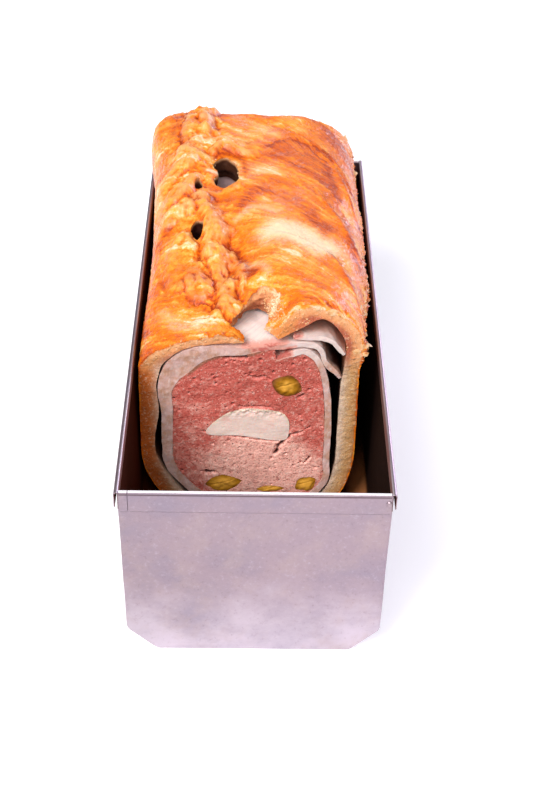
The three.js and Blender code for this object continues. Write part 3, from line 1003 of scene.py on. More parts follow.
@dataclass(frozen=True)
class Mince:
    """Fine pink forcemeat, redder above the core, brown at its upper edge, with pale grains and painted
    shade in its pits.
    """

    red: Colour = (0.65, 0.138, 0.106)
    pink: Colour = (1.0, 0.50, 0.41)
    cream: Colour = (0.97, 0.72, 0.61)
    wine: Colour = (0.36, 0.05, 0.035)
    # Painted shade in the pits and cracks.
    recess_shade: Colour = (0.07, 0.008, 0.005)
    rim: Colour = (0.34, 0.15, 0.09)

    def material(self) -> Finish:
        """Builds the finish."""
        paint = Paint("mince")
        low = paint.attribute("low")
        cloud = paint.noise(7.0, 4.0) - 0.5
        lump = paint.noise(2.4, 3.0, 0.6) - 0.5
        grain = paint.noise(0.7, 3.0, 0.65) - 0.5
        # Painted shade in small pits drawn by a cell pattern.
        pitted = paint.between(paint.cells(2.3), 0.2, 0.08) * paint.between(cloud + lump, -0.06, 0.1)
        specks = paint.between(paint.cells(1.7), 0.22, 0.12) * paint.between(lump - cloud, -0.02, 0.14)
        body = paint.blend(paint.between(low + cloud * 1.4 + lump * 0.8, 0.0, 1.0), self.red, self.pink)
        body = paint.blend(paint.between(grain + lump * 0.6, 0.04, 0.22) * 0.42, body, self.cream)
        body = paint.blend(paint.between(grain + lump * 0.5, -0.03, -0.2) * 0.7, body, self.wine)
        body = paint.blend(specks * 0.25, body, self.cream)
        edge = paint.between(paint.attribute("edge") + cloud * 0.8, 0.2, 0.8)
        body = paint.blend(edge * 0.85, body, self.rim)
        # Painted shade in the cracks and pits.
        pit = paint.between(paint.attribute("pit") + pitted * 0.7, 0.25, 0.9)
        return paint.finish(
            Base_Color=paint.blend(pit, body, self.recess_shade),
            Roughness=0.4 + grain * 0.5,
            Normal=paint.bump(grain * 1.2 + lump * 0.8 - pitted * 0.8 + specks * 0.5 + 0.5, 0.5, 0.7),
            **paint.flesh(0.12, (1.0, 0.35, 0.25), 1.2),
        )


@dataclass(frozen=True)
class MinceGrain:
    """Pale grains of fat and meat in the forcemeat."""

    pink: Colour = (0.74, 0.26, 0.20)
    cream: Colour = (0.86, 0.46, 0.37)

    def material(self) -> Finish:
        """Builds the finish."""
        paint = Paint("mince_grain")
        patch = paint.noise(3.0, 2.0)
        fine = paint.noise(0.5, 2.0)
        colour = paint.blend(paint.between(patch, 0.42, 0.62), self.pink, self.cream)
        return paint.finish(Base_Color=colour, Roughness=0.35 + fine * 0.2)


@dataclass(frozen=True)
class PaleMeat:
    """Pale, close-grained core strip with pink blotches."""

    white: Colour = (0.90, 0.68, 0.60)
    pink: Colour = (0.86, 0.52, 0.44)
    cream: Colour = (0.86, 0.66, 0.50)

    def material(self) -> Finish:
        """Builds the finish."""
        paint = Paint("pale_meat")
        cloud = paint.noise((5.0, 5.0, 4.0), 4.0)
        fibre = paint.noise((5.0, 5.0, 0.8), 4.0)
        fine = paint.noise((0.7, 0.7, 0.6), 2.0)
        edge = paint.attribute("edge")
        tone = paint.blend(paint.between(cloud * 0.7 + fibre * 0.4, 0.52, 0.78), self.white, self.pink)
        colour = paint.blend(paint.between(edge, 0.3, 1.0) * 0.7, tone, self.cream)
        return paint.finish(
            Base_Color=colour,
            Roughness=0.34 + fine * 0.25,
            Normal=paint.bump(fibre * 0.5 + fine * 0.5, 0.25, 0.5),
            **paint.flesh(0.25, (1.0, 0.5, 0.35), 2.0),
        )


@dataclass(frozen=True)
class PistachioFlesh:
    """Cut pistachio: yellow-green flesh, green under the skin, a brown-green rim."""

    flesh: Colour = (0.75, 0.36, 0.045)
    green: Colour = (0.43, 0.18, 0.008)
    rim: Colour = (0.20, 0.065, 0.012)

    def material(self) -> Finish:
        """Builds the finish."""
        paint = Paint("pistachio")
        cloud = paint.noise(3.0, 4.0)
        fine = paint.noise(0.6, 2.0)
        height = paint.height()
        edge = paint.attribute("edge") + cloud * 0.5 - 0.25 - paint.between(height, 45.0, 20.0) * 0.24
        colour = paint.ramp(edge, [(0.25, self.flesh), (0.62, self.green), (0.98, self.rim)])
        return paint.finish(
            Base_Color=colour,
            Roughness=0.35 + fine * 0.2,
            Normal=paint.bump(cloud + fine * 0.3, 0.4, 0.5),
            **paint.flesh(0.1, (0.8, 0.7, 0.2), 1.5),
        )


@dataclass(frozen=True)
class Tinplate:
    """Satin tinplate with blue and straw mottling, browned inside by baking, with painted reflections,
    highlight and shade.
    """

    bright: Colour = (0.34, 0.26, 0.295)
    # Pale tin for specks, and painted reflection of the floor low on the sides.
    polish_and_reflection: Colour = (0.52, 0.45, 0.51)
    blue: Colour = (0.25, 0.225, 0.30)
    straw: Colour = (0.42, 0.32, 0.31)
    dull: Colour = (0.19, 0.125, 0.14)
    # Browning from baking, made blacker as painted shade.
    baked: Colour = (0.06, 0.008, 0.0012)
    # Painted shade on the right inner wall.
    soot: Colour = (0.008, 0.002, 0.001)
    # Painted reflection of the crust on the slanted lower edge.
    glow: Colour = (0.34, 0.13, 0.045)
    # Painted reflection: a black line just under the rims' rounded top.
    black_reflection: Colour = (0.07, 0.04, 0.045)
    # Painted highlight along the rims' crest.
    crest_highlight: Colour = (1.0, 0.96, 1.0)

    def material(self) -> Finish:
        """Builds the finish."""
        paint = Paint("tinplate")
        cloud = paint.noise((30.0, 30.0, 22.0), 6.0, 0.6)
        other = paint.noise((12.0, 12.0, 16.0), 6.0, 0.65, (0.4, 0.7, 0.2))
        hairline = paint.noise((1.2, 60.0, 40.0), 3.0, 0.6, (0.0, 0.35, 0.15))
        speck = paint.noise(1.6, 4.0, 0.7)
        fine = paint.noise(0.7, 2.0)
        height = paint.height()
        # Painted reflection of the pale floor: lighter towards the bottom.
        low = paint.between(height + cloud * 40.0 - 20.0, 40.0, 0.0)
        plain = paint.blend(low, self.bright, self.polish_and_reflection)
        tint = paint.blend(paint.between(cloud, 0.42, 0.7) * 0.45, plain, self.blue)
        mottled = paint.blend(paint.between(other, 0.44, 0.72) * 0.45, tint, self.straw)
        mottled = paint.blend(paint.between(speck, 0.52, 0.8) * 0.4, mottled, self.polish_and_reflection)
        mottled = paint.blend(paint.between(speck, 0.46, 0.2) * 0.4, mottled, self.dull)
        # Painted reflection along the line under the crest.
        mottled = paint.blend(paint.attribute("line"), mottled, self.black_reflection)
        baked = paint.blend(paint.attribute("soot"), self.baked, self.soot)
        baked = paint.blend(paint.attribute("glow"), baked, self.glow)
        # Real browning inside the tin with painted shade, and painted shade in the side rims' slots.
        stain_and_shade = paint.between(paint.attribute("inside") + other * 0.3 - 0.15, 0.3, 0.75)
        # Painted highlight on the crest, made less metallic so its white shows.
        crest = paint.attribute("crest")
        mottled = paint.blend(crest, mottled, self.crest_highlight)
        return paint.finish(
            Base_Color=paint.blend(stain_and_shade, mottled, baked),
            Metallic=1.0 - stain_and_shade * 0.85 - crest * 0.6,
            Roughness=0.3 + cloud * 0.14 + hairline * 0.08 + fine * 0.05 + stain_and_shade * 0.45,
            Normal=paint.bump(hairline * 0.6 + fine * 0.4, 0.05, 0.4),
            Specular_IOR_Level=0.08,
        )


@dataclass(frozen=True)
class StudioFloor:
    """Pale matt table top."""

    white: Colour = (0.93, 0.92, 0.94)
    shadow: Colour = (0.90, 0.89, 0.92)
    glow: float = 0.27

    def material(self) -> Finish:
        """Builds the finish."""
        paint = Paint("studio_floor")
        cloud = paint.noise(120.0, 2.0)
        tone = paint.blend(cloud * 0.06, self.white, self.shadow)
        return paint.finish(Base_Color=tone, Roughness=0.8, Emission_Color=tone, Emission_Strength=self.glow)


@dataclass
class Lump:
    """A rounded patch on the crust: middle, half widths, height and turn."""

    x: float
    y: float
    half_x: float
    half_y: float
    height: float
    turn: float

    def height_at(self, x: Array, y: Array) -> Array:
        """Its height over the dome at x and y."""
        cos, sin = math.cos(self.turn), math.sin(self.turn)
        across = ((x - self.x) * cos + (y - self.y) * sin) / self.half_x
        along = ((y - self.y) * cos - (x - self.x) * sin) / self.half_y
        return self.height * np.exp(-((across**2 + along**2) ** 1.5))


@dataclass
class Roll:
    """A roll of pinched dough: its line on the crust, half widths at both ends, and height."""

    line: Points
    half: tuple[float, float]
    height: float

    def height_at(self, x: Array, y: Array) -> Array:
        """Its height over the dome at x and y, round across and blunt at the ends."""
        away, share = nearest_on(spline(self.line, 14), x, y)
        half = mix(*self.half, share) * 1.12
        return self.height * np.clip(1.0 - (away / half) ** 2, 0.0, 1.0) ** 1.15


@dataclass
class Stroke:
    """A soft mark along a line: its half width and strength."""

    line: Points
    half: float
    strength: float

    def at(self, x: Array, y: Array) -> Array:
        """Its strength at points of the line's plane."""
        return self.strength * bell(distance_to(spline(self.line, 14), x, y), self.half)


@dataclass
class Opening:
    """A torn hole through the crust.

    The plan is its outline in x and y. Its floor lies at a level, and below another level it is
    undercut, mostly towards the back. Browning and shade says how far its inside goes from toasted
    dough to near black, partly real browning and partly painted shade, and lean how far its right
    wall slopes in.
    """

    plan: Points
    floor: float
    undercut_below: float
    undercut: float
    ragged: float
    browning_and_shade: float
    lean: float = 0.0

    def outline(self, samples: int = 48) -> Array:
        """Points round its plan."""
        return spline(self.plan, samples, closed=True)[:-1]

    def holds(self, x: Array, y: Array) -> Array:
        """1 inside the plan, falling to 0 some millimetres outside it."""
        closed = ring_of(self.outline())
        inside = np.zeros(np.shape(x), bool)
        for (x0, y0), (x1, y1) in zip(closed[:-1], closed[1:]):
            crossed = (y0 > y) != (y1 > y)
            rise = y1 - y0 if abs(y1 - y0) > 1e-9 else 1e-9
            inside ^= crossed & (x < (x1 - x0) * (y - y0) / rise + x0)
        away = distance_to(closed, x, y)
        return np.where(inside, 1.0, 1.0 - ease(away, self.undercut, self.undercut + 2.5))

    def tool(self, grain: Grain) -> Piece:
        """Upright tool with a torn outline, wider where it is undercut."""
        sides, levels, top = 96, 52, 122.0
        ring = self.outline(sides)
        out = ring - ring.mean(axis=0)
        out /= np.linalg.norm(out, axis=1, keepdims=True)
        z = np.linspace(self.floor, top, levels)
        low = ease(z, self.undercut_below, self.undercut_below - 3.5)[:, None]
        grow = self.undercut * low * (0.35 + 0.65 * np.clip(out[None, :, 1], 0.0, 1.0))
        x = np.repeat(ring[None, :, 0], levels, axis=0)
        y = np.repeat(ring[None, :, 1], levels, axis=0)
        places = np.stack([x, y, np.repeat(z[:, None], sides, axis=1)], axis=-1)
        grow = grow - self.lean * np.clip(out[None, :, 0], 0.0, 1.0) * ease(z, 101.0, 88.0)[:, None]
        grow = grow + self.ragged * grain.layered(places / np.array([3.0, 3.0, 2.2]), 4)
        places[..., 0] += grow * out[:, 0]
        places[..., 1] += grow * out[:, 1]
        return new_piece("torn_hole", places, tube_faces(levels, sides))


@dataclass
class Loaf:
    """Sizes that the crust and its fillings share."""

    cut_y: float = -46.0
    back_y: float = 122.4
    back_wall: float = 8.0
    gap: float = 0.3
    rise_left: float = 10.0
    rise_right: float = -3.0
    rise_blend: float = 16.0
    rise_low: float = 35.0
    rise_high: float = 82.0

    @property
    def filling_end(self) -> float:
        """Where the fillings stop at the back."""
        return self.back_y - self.back_wall - self.gap

    def along(self, y: Array) -> Array:
        """Share of the loaf's length from the cut to the back."""
        return np.clip((y - self.cut_y) / (self.back_y - self.cut_y), 0.0, 1.0)

    def lift(self, x: Array, y: Array, z: Array) -> Array:
        """How far the filling has risen or sunk at a point."""
        amount = mix(self.rise_left, self.rise_right, ease(x, -self.rise_blend, self.rise_blend))
        return self.along(y) * amount * ease(z, self.rise_low, self.rise_high)

    def sweep(self, name: str, outline: Array, rows: Array, swell: Optional[Swell] = None) -> Piece:
        """Closed solid from an outline that runs through the loaf.

        Args:
            name: the piece's name.
            outline: corners in x and z.
            rows: places along y.
            swell: outward shift at arrays of x, y and z.

        Returns:
            The new object.
        """
        count = len(outline)
        x = np.repeat(outline[None, :, 0], len(rows), axis=0)
        z = np.repeat(outline[None, :, 1], len(rows), axis=0)
        y = np.repeat(np.asarray(rows, float)[:, None], count, axis=1)
        if swell is not None:
            after = np.roll(outline, -1, axis=0)
            step = after - np.roll(outline, 1, axis=0)
            normal = np.stack([step[:, 1], -step[:, 0]], axis=1)
            normal /= np.linalg.norm(normal, axis=1, keepdims=True)
            turn = np.sum(outline[:, 0] * after[:, 1] - outline[:, 1] * after[:, 0])
            amount = swell(x, y, z) * math.copysign(1.0, turn)
            x, z = x + amount * normal[:, 0], z + amount * normal[:, 1]
        points = np.stack([x, y, z + self.lift(x, y, z)], axis=-1)
        return new_piece(name, points, tube_faces(len(rows), count))

    def cut_face(self, piece: Piece, outline: Array, margin: float, step: float, relief: Relief) -> None:
        """Cuts a piece off at the front and leaves an uneven face.

        Args:
            piece: the piece, which reaches past the cut.
            outline: points in x and z that its section lies between.
            margin: how far the cut reaches past them.
            step: distance between the points of the face.
            relief: depth into the food at x and z.
        """
        reach = (outline.min(axis=0) - margin, outline.max(axis=0) + margin)
        carve(piece, rough_front(self.cut_y, reach, step, relief))


@dataclass
class Crust:
    """The baked pastry: two dough flaps pinched along a seam, cut open at the front.

    Corners are radii across and up. The other pairs are values at the cut and at the back.
    """

    loaf: Loaf
    base: float = 1.1
    left_side: float = -46.5
    right_side: float = 40.5
    left_corner: tuple[float, float] = (30.0, 34.0)
    right_corner: tuple[float, float] = (20.0, 35.0)
    left_crown: tuple[float, float] = (92.5, 108.0)
    right_crown: tuple[float, float] = (107.6, 105.2)
    left_shoulder: tuple[float, float] = (74.0, 83.0)
    right_shoulder: float = 79.5
    left_power: tuple[float, float] = (1.9, 4.2)
    right_power: float = 3.0
    left_bulge: float = 3.3
    right_lip: tuple[float, float] = (1.0, 4.0)
    lip_height: float = 4.0
    rounding: float = 10.0
    side_rounding: float = 0.55
    tin_height: float = 78.0
    trim: float = 1.5
    back_rings: int = 10
    face_reach: Points = ((-54.0, -3.0), (54.0, 125.0))
    face_step: float = 0.6
    sharp: float = 48.0
    columns: dict[str, int] = field(
        default_factory=lambda: dict(
            top=232, right_side=20, right_corner=10, bottom=5, left_corner=11, left_side=12
        )
    )
    lumps: tuple[Lump, ...] = (
        Lump(-27, 102, 6, 17, 2.6, 0.1),
        Lump(15, 114, 10, 7, 1.8, 0),
        Lump(-4, 112, 7, 6, 1.2, 0),
        Lump(-13, 81, 10, 6, 2.6, 0.15),
        Lump(-31, 69, 8, 11, 1.8, 0.3),
        Lump(-32, 37, 9, 9, 2.2, -0.4),
        Lump(-18.5, 22, 6, 11, 3.4, 0.2),
        Lump(-31, 12, 5, 7, 1.8, 0.3),
        Lump(-16.5, -2, 7, 6.5, 3.4, -0.2),
        Lump(-25, -14, 6.5, 8, 2.4, 0.5),
        Lump(-12, -23, 5, 12, 2.2, -0.15),
    )
    rolls: tuple[Roll, ...] = (
        Roll(((-27, 119), (-24, 112), (-23.2, 103), (-24.6, 95)), (5.6, 4.8), 4.8),
        Roll(((-31, 113), (-32.6, 100), (-32, 88)), (3.6, 3), 2),
        Roll(((-32, 74), (-25, 83), (-18, 86), (-10, 83)), (7, 5), 2.4),
        Roll(((-19.5, 74.5), (-14.5, 78.6), (-8.6, 76.4), (-2, 75)), (3.2, 2.6), 2.6),
        Roll(((-41.5, 58), (-34.4, 65), (-26.5, 71), (-22.5, 69)), (5.6, 4.2), 2.2),
        Roll(((-38, 43), (-31, 50), (-28, 54)), (6, 3.6), 2.6),
        Roll(((-22, 44), (-15, 44.5), (-8, 47)), (4, 3.4), 1.6),
        Roll(((-41, 29), (-35, 33.5), (-29, 35)), (5.4, 4.4), 2.6),
        Roll(((-22.6, 39), (-19.4, 28), (-16.4, 17), (-18.4, 10)), (5.2, 4.8), 3.2),
        Roll(((-20, 3.6), (-16.6, 2.6), (-12.8, -0.4)), (4.8, 4.4), 4),
        Roll(((-16.2, -4), (-13.8, -16), (-11.6, -27), (-10.6, -31)), (4.2, 5.2), 2.8),
        Roll(((-9.6, -2), (-7, -14), (-5.4, -23)), (2.6, 2.4), 2),
        Roll(((-33, 14), (-30.4, 18.5), (-28, 11)), (3.4, 3.2), 2.2),
        Roll(((-26, -5), (-22.6, -13), (-20.4, -18)), (4.6, 4), 1.8),
        Roll(((-28.8, -11), (-26, -17), (-22, -20)), (3.6, 3), 1.6),
        Roll(((-35, 8), (-33.5, -2), (-31.5, -10)), (4.4, 3.8), 1.2),
    )
    creases: tuple[Stroke, ...] = (
        Stroke(((-30, 120), (-33.5, 108), (-35.7, 96.5), (-34.6, 84)), 0.9, 1.2),
        Stroke(
            ((-30.4, -8.6), (-28.8, -17.6), (-25, -23.5), (-20.3, -24.1), (-16.2, -30.6), (-9, -39)),
            0.6, 1.2,
        ),
        Stroke(((-12.8, -33.8), (-10.4, -36.4), (-7, -40)), 0.8, 2.6),
        Stroke(((-23.8, 10.3), (-23.2, -0.8), (-19.6, -6.9), (-17, -20.4), (-15.6, -31)), 0.6, 1),
        Stroke(((-12.6, -4), (-10, -17), (-7.4, -26)), 0.5, 0.9),
        Stroke(((-42, 8), (-39.7, -2.2), (-36.7, -13)), 1, 0.5),
        Stroke(((-40, 52), (-31, 60), (-24, 63)), 0.9, 0.9),
        Stroke(((-38, 38), (-29, 43), (-25.4, 46)), 0.9, 1),
        Stroke(((-28, 92), (-22, 92), (-17, 94)), 0.8, 0.9),
        Stroke(((-11.4, 12), (-10.8, 4), (-6.4, 0)), 0.8, 0.9),
    )
    folds: tuple[Points, ...] = (
        ((-8.5, 104), (9.9, 102), (23, 92), (34, 76), (42, 50)),
        ((-1.5, 75), (14, 90), (28, 83), (37, 58), (43, 30)),
        ((-6, 52), (9.5, 54.5), (22, 49), (32.5, 27), (42, 0)),
        ((3, 10), (17, 3), (29, -6.5), (36.5, -24), (42, -42)),
    )
    scorches: tuple[Stroke, ...] = (
        Stroke(((10, 121), (19.3, 117.5), (28.4, 111.6), (36.3, 100.7), (41.2, 85.1)), 4.6, 0.5),
        Stroke(((4.3, 83), (15, 90.5), (23.2, 86), (29.5, 72), (33.2, 54)), 2, 0.48),
        Stroke(((15, 82.4), (23.8, 75), (30.2, 54.9), (33.2, 41.7)), 4.5, 0.26),
        Stroke(((33.2, 46.3), (37.1, 27.5), (38.8, 8.8), (40.1, -6.9), (42.2, -21.9)), 2, 0.45),
        Stroke(((-6.8, 31.9), (-0.1, 42.4), (9.3, 41), (18.5, 30.9), (27.7, 14.4)), 3.4, 0.45),
        Stroke(((-18, 73), (-13.5, 74.6), (-8.6, 72), (-5.8, 66), (-5.4, 58)), 2.2, 1),
        Stroke(((-12.2, 9), (-8.9, 6.6), (-5.5, -3.5), (-2.2, -17)), 1.6, 0.6),
        Stroke(((1.6, 70.6), (9.5, 72.7), (18.3, 65.5), (24.6, 56.5)), 4, 0.3),
        Stroke(((14, -40), (24, -41.5), (34, -42)), 2.5, 0.4),
        Stroke(((-44.2, 6), (-41, 22.3), (-36.2, 28.3)), 2, 0.4),
        Stroke(((-34, 84), (-37, 96), (-38, 110)), 3, 0.3),
    )
    # Pale patches of thin egg wash; the second, third and fifth are painted highlights.
    pale_and_highlight_strokes: tuple[Stroke, ...] = (
        Stroke(((9, 9), (17, 6), (25, 0)), 9.4, 1.15),
        Stroke(((-8.3, 23.4), (-1.3, 28.6), (7.1, 25.5)), 3, 0.5),
        Stroke(((-4.7, -7.9), (0.1, -12.4), (4.1, -21.3)), 2.5, 0.5),
        Stroke(((-10.5, 109.4), (-1.7, 104.6), (7.5, 94.9)), 4, 0.4),
        Stroke(((-39, -25), (-32, -34), (-24, -39)), 4, 0.5),
        Stroke(((3, 60), (9, 58)), 4, 0.3),
        Stroke(((-21.6, 61), (-17.4, 60.6)), 1.7, 1.3),
    )
    openings: tuple[Opening, ...] = (
        Opening(
            ((-19.4, 55.5), (-17.6, 59), (-17.8, 62.6), (-19.8, 65.6), (-18.4, 69.6), (-14.6, 71.4),
             (-11.4, 68.4), (-8.8, 61), (-8.2, 55), (-9.4, 50.6), (-13.8, 49.4), (-17.8, 51)),
            87, 100.5, 5, 0.35, 0.93,
        ),
        Opening(((-28.2, 22), (-25.5, 26), (-22.9, 23.4), (-23, 17.5), (-25.2, 14.2), (-27.4, 17.6)),
                83, 95, 1.5, 0.4, 1),
        Opening(((-27.4, 50.8), (-25.4, 53.6), (-23.9, 51), (-24.4, 47.6), (-26.6, 48.2)),
                85, 97, 1, 0.3, 1),
        Opening(
            ((-4.6, -58), (-4.4, -44.4), (-5.4, -40.8), (-9.4, -37.2), (-8.6, -35.2), (-6.2, -31.6),
             (-3.5, -27.6), (1.9, -25.4), (5.9, -28.2), (8.9, -32.8), (10.2, -40), (11, -58)),
            84, 93.5, 2.4, 1.2, 0.1, 8,
        ),
    )
    hollow: Points = (
        (-4, 88), (-20, 86.7), (-30, 83.6), (-36.5, 77.5), (-39.4, 68), (-38.8, 54), (-40.8, 41),
        (-40.6, 33), (-37.5, 25), (-32, 16), (-26.5, 9.4), (-20, 8), (18, 8), (25.8, 10.4), (30, 16.8),
        (32, 24), (33, 34), (33.2, 50), (33.4, 66), (34.2, 76), (35, 86), (32.4, 93.6), (25.5, 99.3),
        (17.5, 95.4), (9, 90.4),
    )
    grain: Grain = field(default_factory=lambda: Grain(11))

    def seam_x(self, y: Array) -> Array:
        """Line of the pinched seam, which wanders to the left towards the back."""
        return -11.5 - 0.125 * y + 2.6 * np.sin(y / 7.5 + 0.6)

    def _flow(self, x: Array, y: Array) -> tuple[Array, Array]:
        """Coordinates of the dough as it was pulled: across the pull, and out from the seam."""
        side = x - self.seam_x(y)
        out = np.abs(side)
        return y + np.where(side > 0.0, 0.2 * out + 0.0125 * out**2, -0.25 * out), out

    def _fold_swell(self, x: Array, y: Array) -> tuple[Array, Array]:
        """Overlapping strips of dough.

        Args:
            x: places across.
            y: places along.

        Returns:
            Height of the strips from 0 to about 1, and closeness to the creases behind them.
        """
        swell = np.zeros(np.broadcast(x, y).shape)
        crease = swell.copy()
        wander = 1.2 * self.grain.layered(spots(x, y, 15.0, level=3.5), 2)
        for knots in self.folds:
            line = spline(knots, 40)
            order = np.argsort(line[:, 0])
            behind = y + wander - np.interp(x, line[order, 0], line[order, 1])
            fade = ease(x, line[0, 0], line[0, 0] + 12.0)
            ridge = np.exp(np.minimum(behind, 0.0) / 8.0) * (1.0 - ease(behind, -0.3, 1.1))
            swell = np.maximum(swell, ridge * fade)
            crease = np.maximum(crease, bell(behind - 1.0, 1.2) * fade)
        return swell, crease

    def rolled(self, x: Array, y: Array) -> Array:
        """Height of the pinched rolls, whose lines wander and swell a little."""
        shift_x = 2.4 * self.grain.layered(spots(x, y, 8.0, level=9.5), 3)
        shift_y = 2.4 * self.grain.layered(spots(x, y, 8.0, level=14.5), 3)
        heaped = sum(roll.height_at(x + shift_x, y + shift_y) ** 4 for roll in self.rolls)
        return heaped**0.25 * (0.95 + 0.55 * self.grain.layered(spots(x, y, 6.0, level=19.5), 2))

    def relief(self, x: Array, y: Array) -> Array:
        """Height of the baked surface over the plain dome."""
        seam = self.seam_x(y)
        ripple = 0.7 * np.sin(x / 6.0 + np.sin(y / 12.0)) * np.sin(y / 12.0 + 1.0)
        swell, crease = self._fold_swell(x, y)
        height = ripple + 1.5 * swell - 0.5 * crease
        height = height - 2.2 * bell(x - seam, 4.0) * ease(self.loaf.along(y), 0.03, 0.2)
        height = height - 9.3 * bell(x - 4.0, 10.0) * bell(y - self.loaf.cut_y, 15.0)
        for lump in self.lumps:
            height = height + lump.height_at(x, y)
        height = height + self.rolled(x, y)
        shift = 1.1 * self.grain.layered(spots(x, y, 5.0, level=4.5), 3)
        for crease_line in self.creases:
            height = height - crease_line.at(x + shift, y - shift)
        pinched = bell(x - seam + 6.0, 15.0)
        wrinkle = 0.4 - np.abs(self.grain.layered(spots(x + 1.5 * shift, y + 0.6 * x, 2.6, 6.5, 31.5), 3))
        height = height + 0.75 * pinched * wrinkle
        near, second = self.grain.cells(spots(x + 2.2 * shift + 0.2 * y, y - 2.2 * shift, 5.4, 7.0, 2.2))
        knobs = np.sqrt(np.clip(second - near, 0.0, 0.6) / 0.6) - 0.6
        height = height + mix(0.25, 0.8, ease(y, 55.0, 5.0)) * pinched * knobs
        across, out = self._flow(x, y)
        height = height + 0.3 * self.grain.layered(spots(across, out, 12.0, 44.0), 2) * ease(out, 4.0, 22.0)
        height = height - 0.9 * self._worn_edge(x, y)
        return height + 0.22 * self.grain.layered(spots(x, y, 3.6, level=7.5), 3) * (0.3 + pinched)

    def _worn_edge(self, x: Array, y: Array) -> Array:
        """1 where the top layer of the arch has flaked off just behind the cut."""
        middle, reach = 27.0, 12.0
        depth = 3.6 * np.sqrt(np.clip(1.0 - ((x - middle) / reach) ** 2, 0.0, 1.0))
        ragged = 1.1 * self.grain.layered(spots(x, y, 2.2, 3.0, 6.5), 3)
        behind = y - self.loaf.cut_y - depth - ragged * ease(depth, 0.2, 1.6)
        return (1.0 - ease(behind, -0.25, 0.25)) * ease(depth, 0.05, 0.8)

    def _crown(self, x: Array, y: Array) -> Array:
        """Height of the plain dome's top."""
        along = self.loaf.along(y)
        left = mix(*self.left_crown, ease(along, 0.0, 0.75))
        right = mix(*self.right_crown, along)
        seam = self.seam_x(y)
        return mix(left, right, ease(x - seam, -4.0, 22.0))

    def _left(self, y: Array) -> Array:
        """Left side of the loaf, which stands off the tin along the middle."""
        return self.left_side + 1.7 * bell(y - 24.0, 40.0)

    def _inset(self, y: Array) -> Array:
        """How far the rounded back edge draws the section in."""
        reach = np.clip((y - (self.loaf.back_y - self.rounding)) / self.rounding, 0.0, 1.0)
        return self.rounding * (1.0 - np.sqrt(1.0 - reach**2))

    def _dome(self, share: Array, y: Array) -> tuple[Array, Array]:
        """The squarish arch from the left shoulder (0) to the right one (1).

        Args:
            share: place along the arch.
            y: place along the loaf.

        Returns:
            x and z.
        """
        along, inset = self.loaf.along(y), self._inset(y)
        left = self._left(y) - self.left_bulge * ease(along, 0.72, 0.95) + inset * self.side_rounding
        lip = mix(*self.right_lip, ease(along, 0.0, 0.25))
        right = self.right_side + lip - inset * self.side_rounding
        middle = (left + right) / 2.0
        on_left = share < 0.5
        power = np.where(on_left, mix(*self.left_power, along), self.right_power)
        shoulder = np.where(on_left, mix(*self.left_shoulder, along), self.right_shoulder)
        cos_part = np.abs(np.cos(np.pi * share)) ** (2.0 / power)
        sin_part = np.abs(np.sin(np.pi * share)) ** (2.0 / power)
        x = middle + (np.where(on_left, left, right) - middle) * cos_part
        dome = mix(shoulder, self._crown(x, y) - inset, sin_part)
        return x, dome + self.relief(x, y) * ease(sin_part, 0.35, 0.75)

    def _section(self, y: Array) -> tuple[Array, Array]:
        """Closed sections at each y, from the left shoulder over the top and round.

        Args:
            y: column of places along the loaf.

        Returns:
            x and z, one row for each y.
        """
        counts = self.columns
        inset = self._inset(y) * self.side_rounding
        right, left, base = self.right_side - inset, self._left(y) + inset, self.base + inset
        shares = {name: (np.arange(count) / count)[None, :] for name, count in counts.items()}
        top_x, top_z = self._dome(shares["top"], y)
        edge_x, _ = self._dome(np.array([[1.0]]), y)
        _, shoulder_z = self._dome(np.array([[0.0]]), y)
        side_z = mix(self.right_shoulder, base + self.right_corner[1], shares["right_side"] ** 1.6)
        out = ease(side_z, self.right_shoulder - self.lip_height, self.right_shoulder)
        side_x = mix(right, edge_x, out)
        angle = shares["right_corner"] * np.pi / 2.0
        right_x = right - self.right_corner[0] * (1.0 - np.cos(angle))
        right_z = base + self.right_corner[1] * (1.0 - np.sin(angle))
        floor_x = mix(right - self.right_corner[0], left + self.left_corner[0], shares["bottom"])
        angle = shares["left_corner"] * np.pi / 2.0
        left_x = left + self.left_corner[0] * (1.0 - np.sin(angle))
        left_z = base + self.left_corner[1] * (1.0 - np.cos(angle))
        climb = shares["left_side"] * counts["left_side"] / (counts["left_side"] - 1)
        wall_top = np.minimum(shoulder_z - 1.0, self.tin_height + self.loaf.gap)
        wall_z = mix(base + self.left_corner[1], wall_top, climb)
        x = np.concatenate([top_x, side_x, right_x, floor_x, left_x, left + 0.0 * wall_z], axis=1)
        z = np.concatenate([top_z, side_z, right_z, base + 0.0 * floor_x, left_z, wall_z], axis=1)
        return x, z

    def _rows(self) -> Array:
        """Places of the sections: closest behind the cut and round the back edge."""
        cut, back = self.loaf.cut_y, self.loaf.back_y
        front = np.arange(cut - self.trim, cut + 12.0, 0.42)
        body = np.linspace(cut + 12.0, back - self.rounding, 212)
        turn = np.linspace(0.0, np.pi / 2.0, 26)[1:]
        return np.concatenate([front, body, back - self.rounding + self.rounding * np.sin(turn)])

    def _outside(self) -> Array:
        """Grid of the whole baked surface, rows from front to back, with rings that close the back."""
        y = self._rows()[:, None]
        x, z = self._section(y)
        points = self._roughened(np.stack([x, np.repeat(y, x.shape[1], axis=1), z], axis=-1))
        middle_x = (self.left_side + self.right_side) / 2.0
        middle = np.array([middle_x, self.loaf.back_y, self.tin_height / 2.0])
        rings = []
        for ring in range(1, self.back_rings + 1):
            share = ring / self.back_rings
            loop = mix(points[-1], middle, share * 0.98)
            uneven = 0.5 * self.grain.layered(loop / 14.0, 3) * min(1.0, 4 * share) - 0.3
            loop[:, 1] = self.loaf.back_y + uneven
            rings.append(loop)
        return np.concatenate([points, np.stack(rings)], axis=0)

